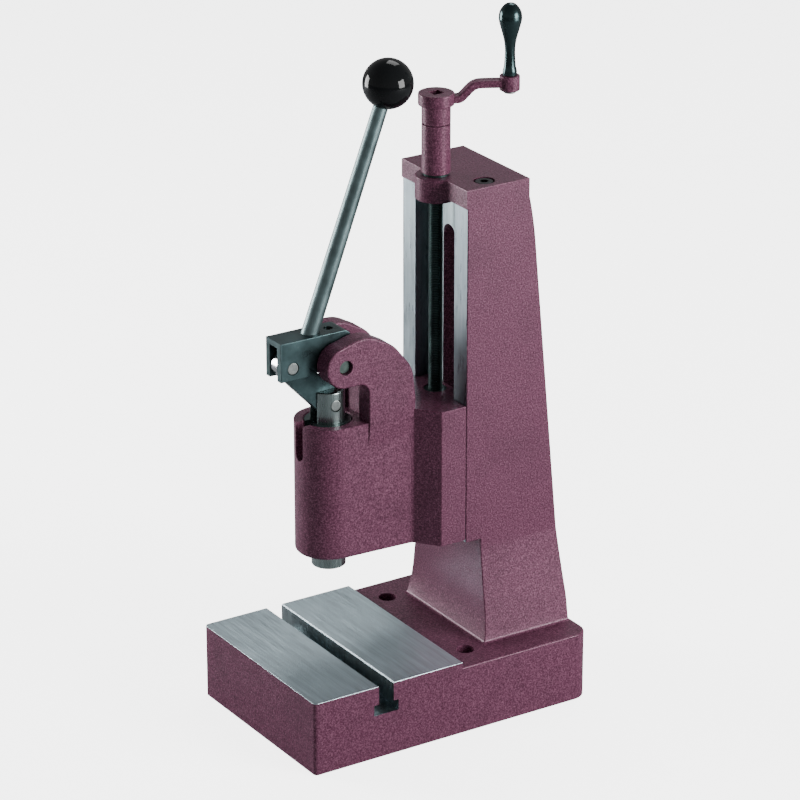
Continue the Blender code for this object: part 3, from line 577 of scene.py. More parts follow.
def machined_metal(name, colour, shine, metallic=0.9, wear=(0.30, 0.36, 0.36)):
    """Machined metal with a burnished skin, rubbed brighter in small spots."""
    n = Nodes(name)
    cloud = n.noise(70, 4.0, 0.6)
    tone = n.ramp(cloud, [(0.3, tint(colour, 0.72)), (0.7, tint(colour, 1.3))])
    spots = n.spread(n.noise(330, 3.0, 0.7), 0.0, 0.12, 0.62, 0.80)
    rubbed = n.mix(spots, tone, wear)
    tooling = n.noise(1400, 2.0, 0.5)
    rough = n.spread(cloud, shine - 0.06, shine + 0.08)
    marked = n.bump(tooling, 0.00002, 0.5)
    return n.fill(Base_Color=rubbed, Metallic=metallic, Roughness=rough, Normal=marked)


def moulded_plastic(name, colour):
    """Polished black phenolic with faint ripples and fine handling scratches."""
    n = Nodes(name)
    ripple = n.bump(n.noise(45, 2.0, 0.4), 0.0001, 0.2)
    scratches = n.noise(500, 4.0, 0.7, (1, 1, 0.06))
    tone = n.ramp(n.noise(30, 2.0), [(0.3, colour), (0.7, tint(colour, 1.5))])
    rough = n.spread(scratches, 0.05, 0.16, 0.45, 0.85)
    return n.fill(Base_Color=tone, Roughness=rough, Normal=ripple, Specular_IOR_Level=0.2)


def make_materials():
    """Every finish by its short name. A ground finish's second triple is its grain."""
    paint = ((0.048, 0.010, 0.026), (0.108, 0.032, 0.064), (0.22, 0.090, 0.142))
    bronze_wear = (0.60, 0.42, 0.20)
    return {
        "paint": hammered_paint("purple_paint", *paint),
        "table": ground_steel("ground_table", (0.55, 0.67, 0.72), (0.05, 1, 1), 0.42),
        "rail": ground_steel("ground_rail", (0.27, 0.32, 0.35), (1, 1, 0.06), 0.34),
        "groove": ground_steel("milled_groove", (0.30, 0.36, 0.38), (1, 1, 0.05), 0.34),
        "ram": ground_steel("ground_ram", (0.27, 0.325, 0.32), (1, 1, 0.03), 0.26),
        "chrome": ground_steel("polished_nose", (0.60, 0.62, 0.64), (0.05, 1, 1), 0.14),
        "pin": ground_steel("turned_pin", (0.24, 0.26, 0.255), (1, 1, 1), 0.36),
        "dull_pin": ground_steel("turned_pin_end", (0.085, 0.115, 0.105), (1, 1, 1), 0.38),
        "dark": machined_metal("dark_steel", (0.046, 0.076, 0.080), 0.32),
        "rod": machined_metal("rod_steel", (0.115, 0.160, 0.165), 0.42),
        "thread": machined_metal("thread_steel", (0.050, 0.080, 0.078), 0.34),
        "screw": machined_metal("screw_steel", (0.018, 0.020, 0.022), 0.36),
        "grip": machined_metal("grip_steel", (0.030, 0.052, 0.054), 0.22),
        "spring": ground_steel("spring_wire", (0.30, 0.31, 0.33), (1, 1, 0.2), 0.35),
        "bronze": machined_metal("bush_bronze", (0.42, 0.26, 0.10), 0.34, 1.0, bronze_wear),
        "plastic": moulded_plastic("black_plastic", (0.0045, 0.0050, 0.0055)),
    }


MATERIALS = make_materials()


# ---------------- frame


def column_back(z):
    """The column's sloping back: straight up to the shoulder, then rounded in under the plate."""
    slope = (BACK_AT_SHOULDER - BASE_END) / (SHOULDER_Z - BASE_TOP)
    straight = BACK_AT_SHOULDER + slope * (z - SHOULDER_Z)
    rise = max(0.0, (z - SHOULDER_Z) / (COLUMN_TOP - SHOULDER_Z))
    top = BACK_AT_SHOULDER + slope * (COLUMN_TOP - SHOULDER_Z)
    return straight - (top - BACK_AT_TOP) * rise**2


def column_ring(z):
    """The column's rounded outline at a height, with its flare, its foot and the fillet on the base."""
    flare = max(0.0, (FLARE_TOP - z) / (FLARE_TOP - BASE_TOP))
    half = COLUMN_HALF + (FOOT_HALF - COLUMN_HALF) * min(flare, 1) ** FLARE_BEND
    foot = max(0.0, (FOOT_TOP - z) / (FOOT_TOP - BASE_TOP))
    front = RAIL_FRONT if z >= RAIL_BOTTOM else WALL_FRONT - FOOT_REACH * min(foot, 1) ** 2
    back = min(column_back(z), BASE_END - 1.6)
    rise = min(max(z - BASE_TOP, 0.0), FOOT_FILLET)
    fillet = FOOT_FILLET - math.sqrt(FOOT_FILLET**2 - (FOOT_FILLET - rise) ** 2)
    half, front = half + fillet, front - fillet
    corners = [(-half, front, 0.8), (half, front, 0.8), (half, back, 2.0), (-half, back, 2.0)]
    return [(x, y, z) for x, y in outline(corners, 4)]


def casting():
    """The base, the raised table and the column as one solid, before anything is cut from it."""
    corners = [(-BASE_HALF, -BASE_END, 3), (BASE_HALF, -BASE_END, 3)]
    plan = outline(corners + [(BASE_HALF, BASE_END, 12), (-BASE_HALF, BASE_END, 12)])
    body = rounded_prism("press_casting", plan, "z", 0, BASE_TOP, 1.0, 1.2)
    table_plan = outline(corners + [(BASE_HALF, TABLE_BACK), (-BASE_HALF, TABLE_BACK)])
    table = rounded_prism("table", table_plan, "z", BASE_TOP - 20, TABLE_TOP, 0, 0.35, 2)
    foot = [BASE_TOP + rise for rise in (0, 0.1, 0.3, 0.6, 1, 1.5, 2, 4.5, 7, 10, 14, 19, 24)]
    flare = [80, 86, 92, 98, 104, 108, 112, 115, 118, 120, FLARE_TOP]
    shoulder = [SHOULDER_Z, 347, 353, 359, 364, 370, COLUMN_TOP]
    heights = [BASE_TOP - 6, *foot, *flare, RAIL_BOTTOM - 0.01, RAIL_BOTTOM, *shoulder]
    return join(body, table, loft("column", [column_ring(z) for z in heights]))


def slot_tool(name, half, low, high):
    """Cuts a slot right across the table, centred under the ram."""
    return block(name, (-PAST_SIDE, RAM_Y - half, low), (PAST_SIDE, RAM_Y + half, high))


def base_cuts():
    """The T-slot across the table, with its chamfered lips, and the cavity under the base."""
    neck = slot_tool("neck", SLOT_HALF, TEE_TOP - 2, TABLE_TOP + 4.8)
    tee = slot_tool("tee", TEE_HALF, TEE_BOTTOM, TEE_TOP)
    front_lip = [(RAM_Y - LIP_OUTER[0], LIP_OUTER[1]), (RAM_Y - LIP_INNER[0], LIP_INNER[1])]
    back_lip = [(RAM_Y + LIP_INNER[0], LIP_INNER[1]), (RAM_Y + LIP_OUTER[0], LIP_OUTER[1])]
    chamfer = prism("chamfer", front_lip + back_lip, "x", -PAST_SIDE, PAST_SIDE)
    under = block("under", (-61, -101, -5), (61, 101, 16))
    return [neck, tee, chamfer, under]


def column_cuts():
    """The groove between the rails, the slit through its floor and the two pockets in the back."""
    groove = block("groove", (-GROOVE_HALF, 20, RAIL_BOTTOM - 8), (GROOVE_HALF, GROOVE_FLOOR, 380))
    slit_low, slit_high = SLIT_ENDS
    slit_shape = arc((0, slit_high), SLIT_HALF, 0, 180, 20) + arc((0, slit_low), SLIT_HALF, 180, 360, 20)
    slit = prism("slit", slit_shape, "y", 38, 60)
    low_pocket = block("low_pocket", (-34, WALL_BACK, 62), (34, PAST_BACK, 100))
    pocket = block("pocket", (-30, WALL_BACK, 110), (30, PAST_BACK, 345))
    return [groove, slit, low_pocket, pocket]


def frame_holes():
    """On each side, a hole for a bench bolt and a tapped hole under the top plate's screw."""
    holes = []
    for side in (-1, 1):
        holes.append(rod("bolt", BOLT_RADIUS, (side * BOLT_X, BOLT_Y, -5), UP, 65))
        holes.append(rod("tapped", M8 + GAP, (side * PLATE_SCREW[0], PLATE_SCREW[1], 355), UP, 30))
    return holes


def table_face(centre, normal):
    """The table's ground top and the step at its back."""
    on_table = centre.y < TABLE_BACK + 0.1 and centre.z > BASE_TOP + 0.05
    return on_table and (normal.z > 0.3 or normal.y > 0.9)


def slot_face(centre, normal):
    """The T-slot's milled walls and floor."""
    inside = abs(centre.y - RAM_Y) < TEE_HALF + 0.1 and TEE_BOTTOM - 0.2 < centre.z < LIP_INNER[1] - 0.1
    return inside and abs(normal.x) < 0.9


def lip_face(centre, normal):
    """The chamfers along the T-slot."""
    inside = abs(centre.y - RAM_Y) < LIP_OUTER[0] + 0.1
    return inside and LIP_INNER[1] - 0.1 < centre.z < TABLE_TOP - 0.05 and 0.6 < normal.z < 0.8


def rail_face(centre, _):
    """The ground fronts of the two rails."""
    return abs(centre.y - RAIL_FRONT) < 0.05 and centre.z > RAIL_BOTTOM


def groove_face(centre, _):
    """The walls and floor of the groove between the rails."""
    between = abs(centre.x) < GROOVE_HALF + 0.05 and centre.z > RAIL_BOTTOM - 0.1
    return between and RAIL_FRONT + 0.05 < centre.y < GROOVE_FLOOR + 0.05


def make_frame():
    body = cut(casting(), *base_cuts(), *column_cuts(), *frame_holes())
    special = [("table", table_face), ("groove", slot_face), ("rail", lip_face)]
    special += [("rail", rail_face), ("groove", groove_face)]
    finish_faces(body, "paint", special)
    show(smooth(body), "frame", "paint", "press_frame")


def plate_outline():
    """The top plate from above: a rectangle with a round lug in front, met by hollow fillets."""
    reach = LUG_RADIUS + LUG_FILLET
    fillet_x = math.sqrt(reach**2 - (LUG_FILLET + SPINDLE_Y - PLATE_FRONT) ** 2)
    fillet = (fillet_x, PLATE_FRONT - LUG_FILLET)
    tangent = math.degrees(math.atan2(fillet[1] - SPINDLE_Y, fillet[0]))
    lug_side = arc((0, SPINDLE_Y), LUG_RADIUS, -90, tangent, 20)
    hollow_side = arc(fillet, LUG_FILLET, 180 + tangent, 90, 10)
    half = lug_side + hollow_side + [(PLATE_HALF, PLATE_FRONT), (PLATE_HALF, PLATE_BACK)]
    return mirrored(half[1:])


def make_top_plate():
    plate = rounded_prism("spindle_plate", plate_outline(), "z", COLUMN_TOP + 0.02, PLATE_TOP, 0, 0.6)
    lug_round = arc((0, SPINDLE_Y), LUG_RADIUS, -90, 50, 28)[1:]
    lug_plan = mirrored([p for p in lug_round if p[1] < GROOVE_FLOOR - GAP])
    join(plate, rounded_prism("lug", lug_plan, "z", LUG_BOTTOM, 380, 1.0))
    tools = [rod("journal", JOURNAL_RADIUS + GAP, (0, SPINDLE_Y, 360), UP, 40)]
    tools.append(rod("shoulder", SHOULDER_RADIUS, (0, SPINDLE_Y, 360), UP, 17))
    for side in (-1, 1):
        centre = (side * PLATE_SCREW[0], PLATE_SCREW[1])
        tools.append(rod("hole", M8 + GAP, (*centre, 0), UP, 400))
        tools.append(rod("sink", COUNTERBORE, (*centre, SINK_FLOOR), UP, 20))
    cut(plate, *tools)
    show(smooth(plate), "frame", "paint", "top_plate")


def cap_screw(name, length, seat, away):
    """An M8 socket head cap screw: away points from the seat of its head to its hexagon socket."""
    corners = [(0, -length), (M8, -length, 0.7), (M8, 0), (HEAD_M8, 0, 0.3)]
    corners += [(HEAD_M8, 2 * M8, 0.8), (0, 2 * M8)]
    screw = turned(name, outline(corners, 4, closed=False), seat, away)
    socket_floor = Vector(seat) + Vector(away) * M8
    return smooth(cut(screw, rod("socket", M8 * 0.8, socket_floor, away, 2 * M8, steps=6)))


def make_screws():
    for word, side in (("left", -1), ("right", 1)):
        seat = (side * PLATE_SCREW[0], PLATE_SCREW[1], SINK_FLOOR + GAP)
        screw = cap_screw(f"plate_screw_{word}", 20, seat, UP)
        show(screw, "frame", "screw", f"top_plate_screw_{word}")
    washer_back = CLAMP_BACK + 2 * GAP + WASHER_THICKNESS
    for word, z in zip(("lower", "upper"), CLAMP_HEIGHTS):
        screw = cap_screw(f"head_clamp_screw_{word}", washer_back - 37.3, (0, washer_back, z), BACKWARDS)
        show(screw, "head", "screw", f"clamp_screw_{word}")


# ---------------- spindle and crank


def make_thread():
    """The spindle's rolled thread: one helical strip of faces, closed at both ends."""
    profile = [(0.0, THREAD_ROOT), (0.16, THREAD_ROOT), (0.52, THREAD_RADIUS), (0.64, THREAD_RADIUS)]
    steps = 32
    low, high = THREAD_ENDS
    turns = int((high - low) / THREAD_PITCH) - 1
    bm = bmesh.new()
    rows = []
    for i in range(steps * turns + 1):
        angle = TURN * i / steps
        rise = low + THREAD_PITCH * i / steps
        way = Vector((math.cos(angle), math.sin(angle), 0))
        centre = Vector((0, SPINDLE_Y, rise))
        points = [centre + way * r + Vector((0, 0, THREAD_PITCH * share)) for share, r in profile]
        rows.append([bm.verts.new(point * MM) for point in points])
    for i, row in enumerate(rows[:-1]):
        beyond = rows[i + 1]
        for j in range(len(profile) - 1):
            bm.faces.new((row[j], beyond[j], beyond[j + 1], row[j + 1]))
        if i + steps + 1 < len(rows):
            bm.faces.new((row[-1], beyond[-1], rows[i + steps + 1][0], rows[i + steps][0]))
    bmesh.ops.holes_fill(bm, edges=[edge for edge in bm.edges if edge.is_boundary])
    thread = finish_mesh("spindle_thread", bm)
    show(smooth(thread, 25), "spindle", "thread", "lead_screw")


def make_journal():
    """The plain upper end of the spindle: a shoulder, the journal above it and a square for the crank."""
    low, collar_low, collar_high = LUG_BOTTOM - 1.6, LUG_BOTTOM + GAP, 376.7
    collar = SHOULDER_RADIUS - GAP
    corners = [(0, low), (THREAD_RADIUS, low), (THREAD_RADIUS, collar_low), (collar, collar_low, 0.4)]
    corners += [(collar, collar_high, 0.4), (JOURNAL_RADIUS, collar_high)]
    corners += [(JOURNAL_RADIUS, SLEEVE_TOP, 0.4), (0, SLEEVE_TOP)]
    journal = turned("spindle_journal", outline(corners, 3, closed=False), (0, SPINDLE_Y, 0))
    low_corner = (-SQUARE_HALF, SPINDLE_Y - SQUARE_HALF, SLEEVE_TOP - 5)
    join(journal, block("square", low_corner, (SQUARE_HALF, SPINDLE_Y + SQUARE_HALF, 442)))
    show(smooth(journal), "spindle", "thread", "lead_screw")


def make_sleeve():
    foot = (0, SPINDLE_Y, SLEEVE_BOTTOM)
    length = SLEEVE_TOP - SLEEVE_BOTTOM
    sleeve = tube("painted_sleeve", JOURNAL_RADIUS + GAP, SLEEVE_RADIUS, foot, UP, length, 0.5)
    show(smooth(sleeve), "spindle", "paint", "spindle_sleeve")


def crank_arm():
    """The crank's flat arm: out from the hub, up in an S-bend, and level to the boss."""
    bend = [(9.0, 442.4), (13.5, 442.4), (17.0, 443.4), (23.0, 449.6)]
    bend += [(26.5, 451.9), (31.0, 452.6), (45.0, 452.6)]
    path = through(bend, 5)
    across = Vector((-CRANK_OUT.y, CRANK_OUT.x, 0))
    half = (ARM_HALF_WIDTH, ARM_HALF_HEIGHT)
    signs = ((-1, -1), (1, -1), (1, 1), (-1, 1))
    section = outline([(u * half[0], v * half[1], 1.3) for u, v in signs], 5)
    rings = []
    for i, (reach, z) in enumerate(path):
        before, after = path[max(i - 1, 0)], path[min(i + 1, len(path) - 1)]
        slope = Vector((after[0] - before[0], after[1] - before[1])).normalized()
        centre = Vector((0, SPINDLE_Y, z)) + reach * CRANK_OUT
        up = CRANK_OUT * -slope.y + Vector((0, 0, slope.x))
        rings.append([centre + across * u + up * v for u, v in section])
    return loft("arm", rings)


def make_crank():
    neck_low = SLEEVE_TOP + 0.4
    corners = [(0, neck_low), (SLEEVE_RADIUS, neck_low, 0.5), (SLEEVE_RADIUS, HUB_BOTTOM, 0.5)]
    corners += [(HUB_RADIUS, HUB_BOTTOM, 0.8), (HUB_RADIUS, HUB_TOP, 0.8), (0, HUB_TOP)]
    crank = turned("painted_crank", outline(corners, 4, closed=False), (0, SPINDLE_Y, 0))
    boss_foot = (GRIP_AXIS.x, GRIP_AXIS.y, BOSS_BOTTOM)
    boss = rod("boss", BOSS_RADIUS, boss_foot, UP, BOSS_TOP - BOSS_BOTTOM, 0.8, 64)
    join(crank, crank_arm(), boss)
    hole = SQUARE_HALF + GAP
    square = block("square", (-hole, SPINDLE_Y - hole, 420), (hole, SPINDLE_Y + hole, 450))
    bore = rod("bore", 3 + GAP, (GRIP_AXIS.x, GRIP_AXIS.y, 440), UP, 30)
    set_hole = rod("set_hole", 2 + GAP, (0, SPINDLE_Y, 432), (-1, 0, 0), 15)
    cut(crank, square, bore, set_hole)
    show(smooth(crank, 30), "spindle", "paint", "crank_handle")


def make_grip():
    """The steel handle that turns on the crank's pin: a slim neck that swells to a rounded end."""
    low = BOSS_TOP + GAP
    length = GRIP_TOP - low
    shape = [(4.85, 0.0), (4.85, 0.06), (4.1, 0.12), (3.6, 0.27), (3.65, 0.38), (4.5, 0.50), (6.4, 0.64)]
    shape += [(7.8, 0.75), (8.0, 0.80), (7.5, 0.87), (5.9, 0.93), (3.4, 0.98), (0.0, 1.0)]
    line = through([(r, low + length * share) for r, share in shape], 6)
    profile = [(0, low)] + [(r, z) for r, z in line if r > 0.05] + [(0, GRIP_TOP)]
    grip = turned("steel_grip", profile, (GRIP_AXIS.x, GRIP_AXIS.y, 0))
    cut(grip, rod("grip_bore", 2 + GAP, (GRIP_AXIS.x, GRIP_AXIS.y, 450), UP, 41))
    show(smooth(grip, 40), "grip", "grip", "crank_grip")


# ---------------- head


def ear_outline():
    """Side view of the cheek that carries the lever's pivot: a hook over the ram, (y, z)."""
    back_edge, window_back, low = -0.8, RAM_Y + 18.6, 205
    hook = arc((RAM_Y, PIVOT_Z), EAR_NOSE, 270, 95, 32)
    back = [(-50, 290.3, 12), (-39.1, 292.4, 24), (-18.4, 281.3, 26), (-3.2, 262, 22)]
    back += [(back_edge, 240), (back_edge, low)]
    window = [(window_back, low), (window_back, WINDOW_TOP, 8), (RAM_Y + 2, WINDOW_TOP)]
    return hook[:-1] + outline([hook[-1]] + back + window, 10)


def run_out(side):
    """The hollow that lets a cheek's side run out into the body below it."""
    steps = 12
    curve = []
    for k in range(steps + 1):
        share = k / steps
        curve.append((side * (EAR_OUTER - 2.1 * share**2), 238 - 36 * share))
    return prism("run_out", curve + [(side * 32, 202), (side * 32, 238)], "y", -60, 6)


def head_plan():
    """The head from above: a round nose, the flange behind it and the tongue behind that."""
    round_front = arc((0, RAM_Y), HEAD_RADIUS, -90, 0, 32)
    side = [round_front[-1], (24, -3, 4), (COLUMN_HALF, FLANGE_FRONT, 1.2)]
    side += [(COLUMN_HALF, FLANGE_BACK, 0.5), (TONGUE_HALF, FLANGE_BACK), (TONGUE_HALF, TONGUE_BACK)]
    return mirrored(round_front[:-1] + outline(side, 6, closed=False))[:-1]


def head_body():
    """The plan drawn up from a rounded bottom edge to the flange's top, with the nose cut to its rim."""
    plan = head_plan()
    rings = []
    for k in range(BOTTOM_STEPS + 1):
        angle = math.pi / 2 * k / BOTTOM_STEPS
        under = HEAD_EDGE * (1 - math.sin(angle))
        ring = inset(plan, lambda _, y: under * min(1.0, max(0.0, (-6 - y) / 30)))
        rings.append([(x, y, HEAD_BOTTOM + HEAD_EDGE * (1 - math.cos(angle))) for x, y in ring])
    for k in range(TOP_STEPS + 1):
        angle = math.pi / 2 * k / TOP_STEPS
        ring = inset(plan, FLANGE_EDGE * (1 - math.cos(angle)))
        rings.append([(x, y, FLANGE_TOP - FLANGE_EDGE * (1 - math.sin(angle))) for x, y in ring])
    above_rim = block("above_rim", (-50, -90, HEAD_RIM), (50, FLANGE_START, FLANGE_TOP + 5))
    return cut(loft("painted_head", rings), above_rim)


def head_with_ears():
    """The body with its two cheeks and the web that joins them behind the link."""
    head = head_body()
    web_shape = [(-35, 200), (-4, 200), (-4, 258), (-10, 262), (-29, 262), (-35, 256)]
    web = prism("web", web_shape, "x", -EAR_INNER - 1, EAR_INNER + 1)
    for side in (-1, 1):
        span = sorted((side * EAR_INNER, side * EAR_OUTER))
        ear = rounded_prism("ear", ear_outline(), "x", *span, 1.2, 1.2)
        join(head, cut(ear, run_out(side)))
    return join(head, web)


def make_head():
    """The head, with the bores and the slot in its nose cut from the body."""
    rim, above, mouth = HEAD_RIM + 0.2, HEAD_RIM + 4, RAM_BORE + BORE_CHAMFER
    bore_line = [(0, RAM_BORE_FLOOR), (RAM_BORE, RAM_BORE_FLOOR), (RAM_BORE, rim - BORE_CHAMFER)]
    bore_line += [(mouth, rim), (mouth, above), (0, above)]
    bore = turned("bore", bore_line, (0, RAM_Y, 0), steps=80)
    lower = rod("lower", LOWER_BORE, (0, RAM_Y, 120), UP, 30, steps=80)
    slot_round = arc((0, NOSE_SLOT_Z), NOSE_SLOT_HALF, 180, 360, 20)
    slot_shape = slot_round + [(NOSE_SLOT_HALF, 240), (-NOSE_SLOT_HALF, 240)]
    slot = prism("slot", slot_shape, "y", RAM_Y - 30, RAM_Y - 8)
    spindle = rod("spindle", THREAD_RADIUS + 0.5, (0, SPINDLE_Y, 120), UP, 130)
    nut = rod("nut", NUT_BORE, (0, SPINDLE_Y, NUT_SEAT), UP, 40)
    pivot = rod("pivot", PIVOT_PIN + GAP, (-40, RAM_Y, PIVOT_Z), ACROSS, 80)
    bush_seats = rod("bush_seats", 7 + GAP, (-21, RAM_Y, PIVOT_Z), ACROSS, 42)
    guide = rod("guide", 3 + GAP, (-40, RAM_Y, 136), ACROSS, 30)
    taps = [rod("tap", M8 + GAP, (0, SPINDLE_Y + 2, z), BACKWARDS, 15) for z in CLAMP_HEIGHTS]
    head = cut(head_with_ears(), bore, lower, slot, spindle, nut, pivot, bush_seats, guide, *taps)
    show(smooth(head), "head", "paint", "press_head")


def make_clamp():
    """The plate and washers behind the slit, which the clamp screws pull against the column's wall."""
    corners = outline([(-18, 148, 2), (18, 148, 2), (18, 207, 2), (-18, 207, 2)])
    plate = rounded_prism("head_clamp_plate", corners, "y", CLAMP_FRONT, CLAMP_BACK, 0.5, 0.5, 3)
    side = SLIT_HALF - 0.4
    join(plate, block("neck", (-side, TONGUE_BACK + 2 * GAP, 150), (side, CLAMP_FRONT + 2, 205)))
    cut(plate, *[rod("hole", M8 + GAP, (0, 30, z), BACKWARDS, 50) for z in CLAMP_HEIGHTS])
    show(smooth(plate), "head", "rail", "clamp_plate")
    for word, z in zip(("lower", "upper"), CLAMP_HEIGHTS):
        seat = (0, CLAMP_BACK + GAP, z)
        washer = tube(f"head_clamp_washer_{word}", M8 + GAP, 8, seat, BACKWARDS, WASHER_THICKNESS, 0.3)
        show(smooth(washer), "head", "pin", f"clamp_washer_{word}")


def spring_curve():
    """The spring's wire as a curve, from the lower seat up to the collar."""
    spine = bpy.data.curves.new("spring_coil", "CURVE")
    spine.dimensions = "3D"
    spine.bevel_depth = SPRING_WIRE * MM
    spine.bevel_resolution = 4
    spine.use_fill_caps = True
    line = spine.splines.new("POLY")
    count = int(SPRING_TURNS * SPRING_STEPS)
    line.points.add(count)
    height = COLLAR_Z - 2 * GAP - SPRING_LOW - 2 * SPRING_WIRE
    for i, point in enumerate(line.points):
        angle = TURN * SPRING_TURNS * i / count
        x = SPRING_RADIUS * math.cos(angle)
        y = RAM_Y + SPRING_RADIUS * math.sin(angle)
        z = SPRING_LOW + SPRING_WIRE + height * i / count
        point.co = (x * MM, y * MM, z * MM, 1)
    return new_object("spring_spine", spine)


def make_return_spring():
    """The coil round the ram, drawn at one length."""
    curve = spring_curve()
    spring = new_object("ram_return_spring", evaluated(curve))
    bpy.data.objects.remove(curve, do_unlink=True)
    show(smooth(spring, 60), "head", "spring", "return_spring")
    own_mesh(spring)


# ---------------- toggle, lever and ram


def make_ram():
    """The ram and its pin: a fork for the link, a groove for the collar, a keyway and a bore for tools."""
    corners = [(0, RAM_BOTTOM), (RAM_RADIUS, RAM_BOTTOM, 1.0), (RAM_RADIUS, COLLAR_Z - GAP, 0.2)]
    groove_top = COLLAR_Z + 3 + GAP
    corners += [(COLLAR_GROOVE, COLLAR_Z - GAP), (COLLAR_GROOVE, groove_top), (RAM_RADIUS, groove_top, 0.2)]
    corners += [(RAM_RADIUS, RAM_TOP, 1.2), (0, RAM_TOP)]
    ram = turned("steel_ram", outline(corners, 5, closed=False), (0, RAM_Y, 0), steps=80)
    fork = block("fork", (-FORK_HALF, RAM_Y - 20, FORK_FLOOR), (FORK_HALF, RAM_Y + 20, 260))
    key_low, key_high = KEYWAY_ENDS
    keyway = block("keyway", (-15, RAM_Y - KEYWAY_HALF, key_low), (-9.7, RAM_Y + KEYWAY_HALF, key_high))
    bore = rod("bore", TOOL_BORE, (0, RAM_Y, 110), UP, 38.5)
    pin_hole = rod("pin", RAM_PIN + GAP, (-20, RAM_Y, CLEVIS_Z), ACROSS, 40)
    clamp = rod("clamp", 2.5 + GAP, (0, RAM_Y + 4, 124), BACKWARDS, 12)
    cut(ram, fork, keyway, bore, pin_hole, clamp)
    show(smooth(ram, 30), "ram", "ram", "ram")
    pin = rod("fork_pin", RAM_PIN, (-11.4, RAM_Y, CLEVIS_Z), ACROSS, 22.8, 0.5)
    show(smooth(pin), "ram", "pin", "ram_pin")


def make_link():
    """The toggle link: a wide round nose on the knee pin, and an eye in the ram's fork."""
    lean = math.degrees(math.atan2(CLEVIS_Z - KNEE[1], RAM_Y - KNEE[0]))
    nose = arc(KNEE, 9.3, lean + 90, lean + 270, 32)
    eye = arc((RAM_Y, CLEVIS_Z), 10, lean - 90, lean + 90, 32)
    link = rounded_prism("steel_link", nose + eye, "x", -4, 4, 0.4, 0.4, 3)
    knee = rod("knee", KNEE_PIN + GAP, (-10, *KNEE), ACROSS, 20)
    cut(link, knee, rod("clevis", 7.5, (-10, RAM_Y, CLEVIS_Z), ACROSS, 20))

    def nose_face(centre, normal):
        reach = math.hypot(centre.y - KNEE[0], centre.z - KNEE[1])
        return abs(normal.x) < 0.1 and reach > 8.5 and centre.y < KNEE[0] + 3

    finish_faces(link, "dark", [("chrome", nose_face)])
    show(smooth(link), "link", "dark", "toggle_link")


def make_lever_block():
    """The forked block that swings on the pivot pin: open to the front and below for the link."""
    eye = arc((RAM_Y, PIVOT_Z), 13.5, 0, -105, 20)
    shape = outline([(-70, BLOCK_BOTTOM, 4), (BLOCK_FRONT, BLOCK_BOTTOM), (BLOCK_FRONT, BLOCK_TOP)], 8)
    top = arc((-49.5, BLOCK_TOP - 6), 6, 90, 20, 8)
    sides = (-BLOCK_HALF, BLOCK_HALF)
    lever = rounded_prism("steel_lever_block", shape + top + eye, "x", *sides, 0.45, 0.45, 3)
    slot_shape = [(-102, 250), (-102, 290), (-87, 290), (-83, 281.4), (-54.6, 252.5)]
    slot = prism("slot", slot_shape, "x", -4.9, 4.9)
    pivot = rod("pivot", PIVOT_PIN + GAP, (-20, RAM_Y, PIVOT_Z), ACROSS, 40)
    knee = rod("knee", KNEE_PIN + GAP, (-20, *KNEE), ACROSS, 40)
    seat = rod("seat", ROD_RADIUS + GAP, ROD_SEAT - (ROD_DEPTH + 0.5) * ROD_WAY, ROD_WAY, 30)
    grub = rod("grub", 3 + GAP, (0, RAM_Y + 1, PIVOT_Z), UP, 30)
    cut(lever, slot, pivot, knee, seat, grub)
    show(smooth(lever), "lever", "dark", "lever_block")


def make_lever_pins():
    pivot = rod("lever_pivot_pin", PIVOT_PIN, (-22, RAM_Y, PIVOT_Z), ACROSS, 44, 0.6)
    show(smooth(pivot), "lever", "dull_pin", "pivot_pin")
    knee = rod("lever_knee_pin", KNEE_PIN, (-9.9, *KNEE), ACROSS, 19.8, 0.5)
    show(smooth(knee), "lever", "pin", "knee_pin")


def make_lever_rod():
    """A steel rod that tapers a little towards the ball, with a smaller end inside it."""
    neck = ROD_DEPTH + BALL_REACH - BALL_RADIUS + 0.8
    length = 191
    corners = [(0, 0), (ROD_RADIUS, 0, 0.5), (ROD_RADIUS, 14), (5.2, neck, 0.3)]
    corners += [(ROD_END, neck), (ROD_END, length), (0, length)]
    foot = ROD_SEAT - ROD_DEPTH * ROD_WAY
    lever = turned("steel_lever_rod", outline(corners, 4, closed=False), foot, ROD_WAY)
    show(smooth(lever), "lever", "rod", "lever_rod")


def make_ball():
    """The plastic ball, with a small flat and a hole where the rod goes in."""
    count = 48
    sphere = [(0, -BALL_RADIUS)]
    for k in range(1, count):
        angle = math.pi * k / count
        sphere.append((BALL_RADIUS * math.sin(angle), -BALL_RADIUS * math.cos(angle)))
    sphere.append((0, BALL_RADIUS))
    knob = turned("plastic_ball", sphere, BALL_CENTRE, ROD_WAY, 96)
    flat = rod("flat", 9, BALL_CENTRE - (BALL_RADIUS + 9) * ROD_WAY, ROD_WAY, 9.9)
    cut(knob, rod("hole", ROD_END + GAP, BALL_CENTRE - 25 * ROD_WAY, ROD_WAY, 28.5), flat)
    show(smooth(knob), "lever", "plastic", "ball_knob")


# ---------------- pieces kept from the CAD

KEPT = {
    # The thrust washer takes the dark thread steel as painted shade: it stands for the black gap between
    # the parts where it sits.
    "thrust_washer": "thread",
    "spindle_nut": "thread",
    # The upper ram bush takes the dark thread steel: in part its own steel, in part painted shade for the
    # dark bore around the ram.
    "ram_bush_upper": "thread",
    "ram_bush_lower": "bronze",
    "pivot_bush_left": "bronze",
    "pivot_bush_right": "bronze",
    "spring_collar": "pin",
    "crank_grip_pin": "pin",
    "crank_set_screw": "screw",
    "ram_guide_screw": "screw",
    "tool_clamp_screw": "screw",
    "pivot_set_screw": "screw",
}


def dress_kept_nodes():
    """Gives the small CAD pieces that are shown as they are their finishes."""
    for node, finish in KEPT.items():
        for material_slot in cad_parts[node].material_slots:
            material_slot.material = MATERIALS[finish]


# ---------------- room, light and camera


